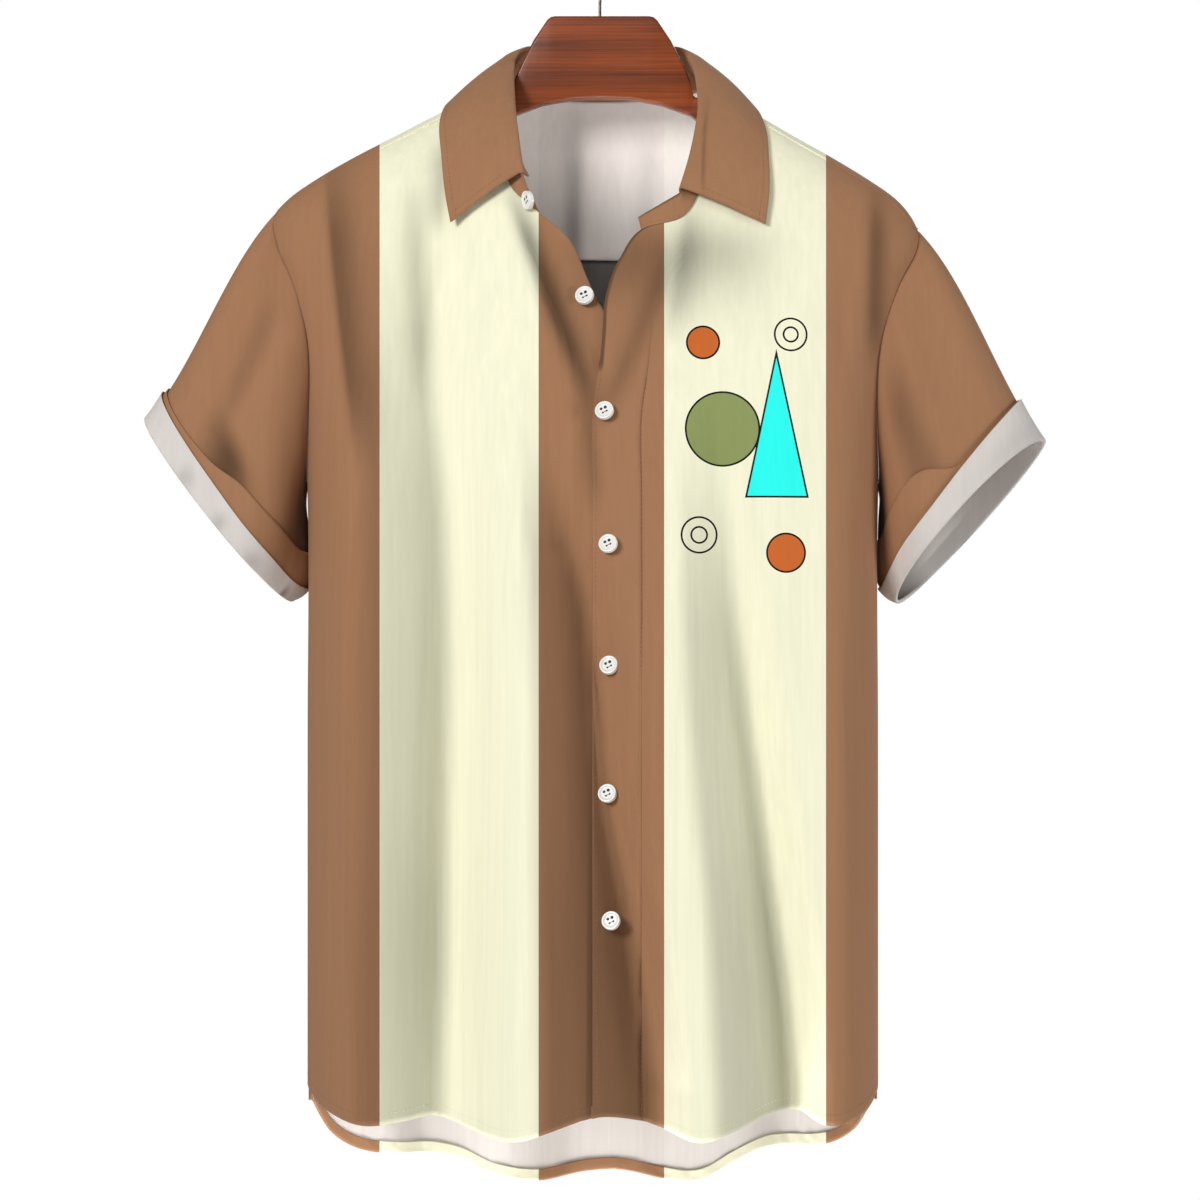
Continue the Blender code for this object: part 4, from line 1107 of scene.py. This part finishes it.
resin = resinMaterial()
buttonPattern, threadPattern = turnedButton(resin), sewnThread(darkThread)
facing = buttonForm["facing"]
seats = [("button_stand", buttonForm["standSeat"], buttonForm["standFacing"])]
seats.append(("button_open", bodyPoint(*buttonForm["openSeat"]), facing))
for k, seat in enumerate(buttonForm["bandSeats"], start=1):
    seats.append((f"button_{k}", bodyPoint(*seat), facing))
for node, place, look in seats:
    name = "".join(part.capitalize() for part in node.split("_"))
    button = placedCopy(buttonPattern, "shirt" + name, place, look)
    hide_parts(node)
    thread = placedCopy(threadPattern, "thread" + name, place, look)
for pattern in (buttonPattern, threadPattern):
    bpy.data.objects.remove(pattern, do_unlink=True)
print("buttons", len(seats))


# Hanger: lacquered hardwood, sawn, shaped and stained red-brown, so it is glossy with fine level grain
hangerForm = {
    "top": ((0, -60), (33, -60), (36, -60.7), (38.5, -62.8), (48, -77), (58, -97), (61.5, -105), (64, -117)),
    "arch": ((0, -117), (21, -118), (42, -122), (62, -129.5)),
    "armEnd": 203, "armHeights": (26, 17), "clearance": 3.8, "thickness": 14, "bevel": 2.4, "centre": 1.5,
    "dark": "522006", "light": "9c4712", "wire": 2.0, "hookRadius": 17.0,
    "surface": {
        "Roughness": 0.42, "IOR": 1.5, "Specular IOR Level": 0.35, "Coat Weight": 0.3, "Coat Roughness": 0.16,
    },
}


def woodMaterial():
    material, tree, shader = newMaterial("lacquered_red_brown_beech", hangerForm["surface"])
    place = addNode(tree, "TexCoord")
    # grain lines of about 1.2 mm run along the hanger
    level = addNode(tree, "Mapping", {"Vector": place.outputs["Object"], "Scale": (9, 160, 820)})
    grain = addNode(
        tree, "TexNoise", {"Vector": level.outputs[0], "Scale": 1.0, "Detail": 5.0, "Roughness": 0.65}
    )
    broad = addNode(tree, "Mapping", {"Vector": place.outputs["Object"], "Scale": (5, 30, 60)})
    cloud = addNode(tree, "TexNoise", {"Vector": broad.outputs[0], "Scale": 1.0, "Detail": 2.0})
    both = addNode(tree, "Math", {0: grain.outputs["Fac"], 1: cloud.outputs["Fac"]}, operation="ADD")
    share = addNode(tree, "MapRange", {"Value": both.outputs[0], "From Min": 0.72, "From Max": 1.28})
    colour = addNode(
        tree, "Mix",
        {"Factor": share.outputs[0], "A": hexColour(hangerForm["dark"]), "B": hexColour(hangerForm["light"])},
        data_type="RGBA",
    )
    tree.links.new(colour.outputs["Result"], shader.inputs["Base Color"])
    bump = addNode(tree, "Bump", {"Height": grain.outputs["Fac"], "Strength": 0.25, "Distance": 0.0002})
    tree.links.new(bump.outputs[0], shader.inputs["Normal"])
    return material


def buildHanger():
    form = hangerForm
    armX = np.linspace(80, form["armEnd"], 12)
    armTop = np.minimum(ridge(armX), ridge(-armX)) - form["clearance"]
    deep = np.interp(armX, (80, form["armEnd"]), form["armHeights"])
    topX, topZ = zip(*form["top"], *zip(armX, armTop), (form["armEnd"] + 5, armTop[-1] - 5))
    lowX, lowZ = zip(*form["arch"], *zip(armX, armTop - deep), (form["armEnd"] + 5, armTop[-1] - 15))
    half = sorted(set(topX) | set(lowX))
    across = np.array([-x for x in half[:0:-1]] + half)
    bpy.ops.object.select_all(action="DESELECT")
    bpy.ops.mesh.primitive_grid_add(x_subdivisions=len(across) - 1, y_subdivisions=1, size=1)
    hanger = bpy.context.object
    hanger.name = "woodenHanger"
    front = -form["thickness"] / 2
    for vertex in hanger.data.vertices:
        x = float(across[round((vertex.co.x + 0.5) * (len(across) - 1))])
        z = np.interp(abs(x), topX, topZ) if vertex.co.y > 0 else np.interp(abs(x), lowX, lowZ)
        vertex.co = Vector((x + form["centre"], front, z)) * mm
    edit = editStart(hanger)
    for face in edit.faces:
        face.select = True
    bpy.ops.mesh.extrude_region_move(TRANSFORM_OT_translate={"value": (0, form["thickness"] * mm, 0)})
    bpy.ops.mesh.select_all(action="SELECT")
    bpy.ops.mesh.normals_make_consistent(inside=False)
    bpy.ops.object.mode_set(mode="OBJECT")
    addRounding(hanger, form["bevel"], 4, 50)
    applyAll(hanger)
    hanger.data.materials.append(woodMaterial())
    smoothBelow(hanger, 30)
    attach(hanger, "root")
    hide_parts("hanger")


def buildHook():
    # drawn steel wire, plated: smooth bright metal, dark where the room is dark
    material, tree, shader = newMaterial(
        "plated_steel_wire", {"Base Color": hexColour("5a524d"), "Metallic": 1.0}
    )
    place = addNode(tree, "TexCoord")
    scuffs = addNode(tree, "TexNoise", {"Vector": place.outputs["Object"], "Scale": 700.0, "Detail": 3.0})
    rough = addNode(tree, "MapRange", {"Value": scuffs.outputs["Fac"], "To Min": 0.18, "To Max": 0.4})
    tree.links.new(rough.outputs[0], shader.inputs["Roughness"])
    radius = hangerForm["hookRadius"]
    path = [(0, -62), (0, -56), (0, -50), (0.3, -46), (2.4, -40.6), (7, -35.4)]
    for degrees in np.arange(-45, 216, 7.5):
        turn = math.radians(degrees)
        path.append((radius * math.cos(turn), 1 - radius + radius * math.sin(turn)))
    wire = bpy.data.curves.new("wireHook", "CURVE")
    wire.dimensions = "3D"
    spline = wire.splines.new("POLY")
    spline.points.add(len(path) - 1)
    for point, (x, z) in zip(spline.points, path):
        point.co = (x * mm, 0, z * mm, 1)
    wire.bevel_depth, wire.bevel_resolution, wire.use_fill_caps = hangerForm["wire"] / 2 * mm, 3, True
    hook = bpy.data.objects.new("wireHook", wire)
    bpy.context.scene.collection.objects.link(hook)
    makeActive(hook)
    bpy.ops.object.convert(target="MESH")
    hook = bpy.context.object
    hook.data.materials.clear()
    hook.data.materials.append(material)
    hook.select_set(False)
    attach(hook, "root")
    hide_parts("hook")


buildHanger()
buildHook()
print("hanger and hook")


# Sewing: each stitch is one small bump of thread
stitchForm = {
    "spacing": 3.2, "length": 2.4, "radius": 0.2,
    "fromHem": 7.3, "fromBand": 2.6, "fromYoke": 1.8, "fromStand": 2.4, "fromLeaf": 5.2,      # from the edge
}


def stitched(name, seams, material):
    vertices, faces = [], []
    long, wide = stitchForm["length"] / 2, stitchForm["radius"]
    pattern = ((1, 2, 4), (2, 0, 4), (0, 3, 4), (3, 1, 4), (2, 1, 5), (0, 2, 5), (3, 0, 5), (1, 3, 5))
    for line, normals in seams:
        run = lengthAlong(line)
        for place in np.arange(stitchForm["spacing"] / 2, run[-1], stitchForm["spacing"]):
            middle, ahead, out = (
                np.array([np.interp(at, run, values[:, k]) for k in range(3)])
                for at, values in ((place, line), (place, np.gradient(line, run, axis=0)), (place, normals))
            )
            ahead, out = unit(ahead), unit(out)
            aside = unit(np.cross(out, ahead))
            start = len(vertices)
            vertices += [middle - ahead * long, middle + ahead * long]
            vertices += [middle + aside * wide, middle - aside * wide]
            vertices += [middle + out * wide * 1.1, middle - out * wide * 0.6]
            faces += [tuple(start + corner for corner in face) for face in pattern]
    piece = meshPiece(name, vertices, faces, [material])
    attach(piece, "root")
    return piece


def seamAt(points, distance, outwards=1):
    normals = normalsOf(points) * outwards
    return lineAt(points, distance), lineAt(points, distance, normals)


def turned(points):
    return points.transpose(1, 0, 2)


matchedThread = cottonMaterial("matched_polyester_thread", striped=True, tone=0.88)
underFlipped = under[:, ::-1]
hemSeams = [[seamAt(points, stitchForm["fromHem"])] for points in (underFlipped, over, back[:, ::-1])]
stitchesRight = stitched("stitchesFrontRight", hemSeams[0], matchedThread)
stitchesLeft = stitched("stitchesFrontLeft", hemSeams[1], matchedThread)
bandSide = turned(band[:136])
bandWide = float(np.linalg.norm(np.diff(bandSide[:, 60], axis=0), axis=1).sum())
bandSeams = [seamAt(bandSide, at, -1) for at in (stitchForm["fromBand"], bandWide - stitchForm["fromBand"])]
stitchesBand = stitched("stitchesPlacket", bandSeams, matchedThread)
stitchesBack = stitched("stitchesBack", hemSeams[2], matchedThread)
yokeFlipped = yoke[:, ::-1]
yokeSeams = [seamAt(yokeFlipped, stitchForm["fromYoke"])]
for part in (yokeFlipped[:, :105], yokeFlipped[:, -105:]):
    yokeSeams.append(seamAt(part[::-1], stitchForm["fromYoke"], -1))
stitchesYoke = stitched("stitchesYoke", yokeSeams, matchedThread)
standFlipped = stand[:, ::-1]
standSeams = [seamAt(standFlipped, stitchForm["fromStand"])]
stitchesStand = stitched("stitchesStand", standSeams, brownThread)
leafSides = turned(leaf[24:])
leafEdges = ((leaf[::-1], -1), (leafSides, -1), (leafSides[::-1], 1))
leafSeams = [seamAt(part, stitchForm["fromLeaf"], outwards) for part, outwards in leafEdges]
stitchesLeaf = stitched("stitchesCollar", leafSeams, brownThread)
print("sewing", sum(len(p.data.polygons) for p in (stitchesRight, stitchesBack, stitchesYoke, stitchesLeaf)))
# Camera, light and floor
sceneLook = {"distance": 2.6, "aim": -0.468, "frame": 0.84, "floor": -1.75, "floorRadius": 2.2}
camera = bpy.data.objects.new("camera", bpy.data.cameras.new("camera"))
camera.location = (0, -sceneLook["distance"], sceneLook["aim"])
camera.rotation_euler = (math.radians(90), 0, 0)
camera.data.sensor_width = 36
camera.data.lens = 36 * sceneLook["distance"] / sceneLook["frame"]
bpy.context.scene.collection.objects.link(camera)
bpy.context.scene.camera = camera

world = bpy.data.worlds.new("white_room")
world.use_nodes = True
bpy.context.scene.world = world
worldTree = world.node_tree
sky = worldTree.nodes["Background"]
sky.inputs["Color"].default_value = (1, 1, 1, 1)
sky.inputs["Strength"].default_value = 0.22
bright = addNode(worldTree, "Background", {"Color": (1, 1, 1, 1), "Strength": 1.0})
seen = addNode(worldTree, "LightPath")
mixed = addNode(worldTree, "MixShader", {
    0: seen.outputs["Is Camera Ray"], 1: sky.outputs[0], 2: bright.outputs[0],
})
worldTree.links.new(mixed.outputs[0], worldTree.nodes["World Output"].inputs["Surface"])

# name, turn to the right of the camera and height over level in degrees, distance, size, brightness on the cloth
lights = (
    ("keyLight", -31, 20, 3.4, 0.9, 0.66),
    ("softLight", 0, 42, 3.0, 1.6, 0.08),
    ("sideLight", 72, 0, 3.0, 1.0, 0.38),
    ("rearLight", 170, 20, 3.0, 2.0, 0.55),
)
middle = Vector((0, 0, -0.45))


def addLight(name, place, aim, size, watts, spread=180):
    lamp = bpy.data.lights.new(name, "AREA")
    lamp.size, lamp.energy = size, watts
    lightObject = bpy.data.objects.new(name, lamp)
    lightObject.location = place
    lightObject.rotation_euler = (aim - place).to_track_quat("-Z", "Y").to_euler()
    lightObject.visible_camera = False
    lamp.spread = math.radians(spread)
    bpy.context.scene.collection.objects.link(lightObject)


for name, turn, rise, distance, size, brightness in lights:
    turn, rise = math.radians(turn), math.radians(rise)
    way = Vector((math.sin(turn) * math.cos(rise), -math.cos(turn) * math.cos(rise), math.sin(rise)))
    addLight(name, middle + way * distance, middle, size, brightness * (math.pi * distance) ** 2)
# small soft boxes under the hem and inside the neck light the inside: name, place, aim, size, watts, spread
softBoxes = (
    ("hemLight", (0, -0.03, -1.26), (0, 0.02, -0.8), 0.3, 3.5, 180),
    ("insideLight", (0.04, -0.04, -0.235), (0.016, 0.06, -0.14), 0.05, 0.034, 130),
)
for name, place, aim, size, watts, spread in softBoxes:
    addLight(name, Vector(place), Vector(aim), size, watts, spread)
bpy.context.scene.view_settings.view_transform = "Standard"

bpy.ops.mesh.primitive_circle_add(
    vertices=96, radius=sceneLook["floorRadius"], fill_type="NGON", location=(0, 0, sceneLook["floor"])
)
floor = bpy.context.object
floor.name = "floor"
floorSurface = {"Base Color": (0.86, 0.86, 0.86, 1), "Roughness": 0.8}
floor.data.materials.append(newMaterial("pale_studio_floor", floorSurface)[0])
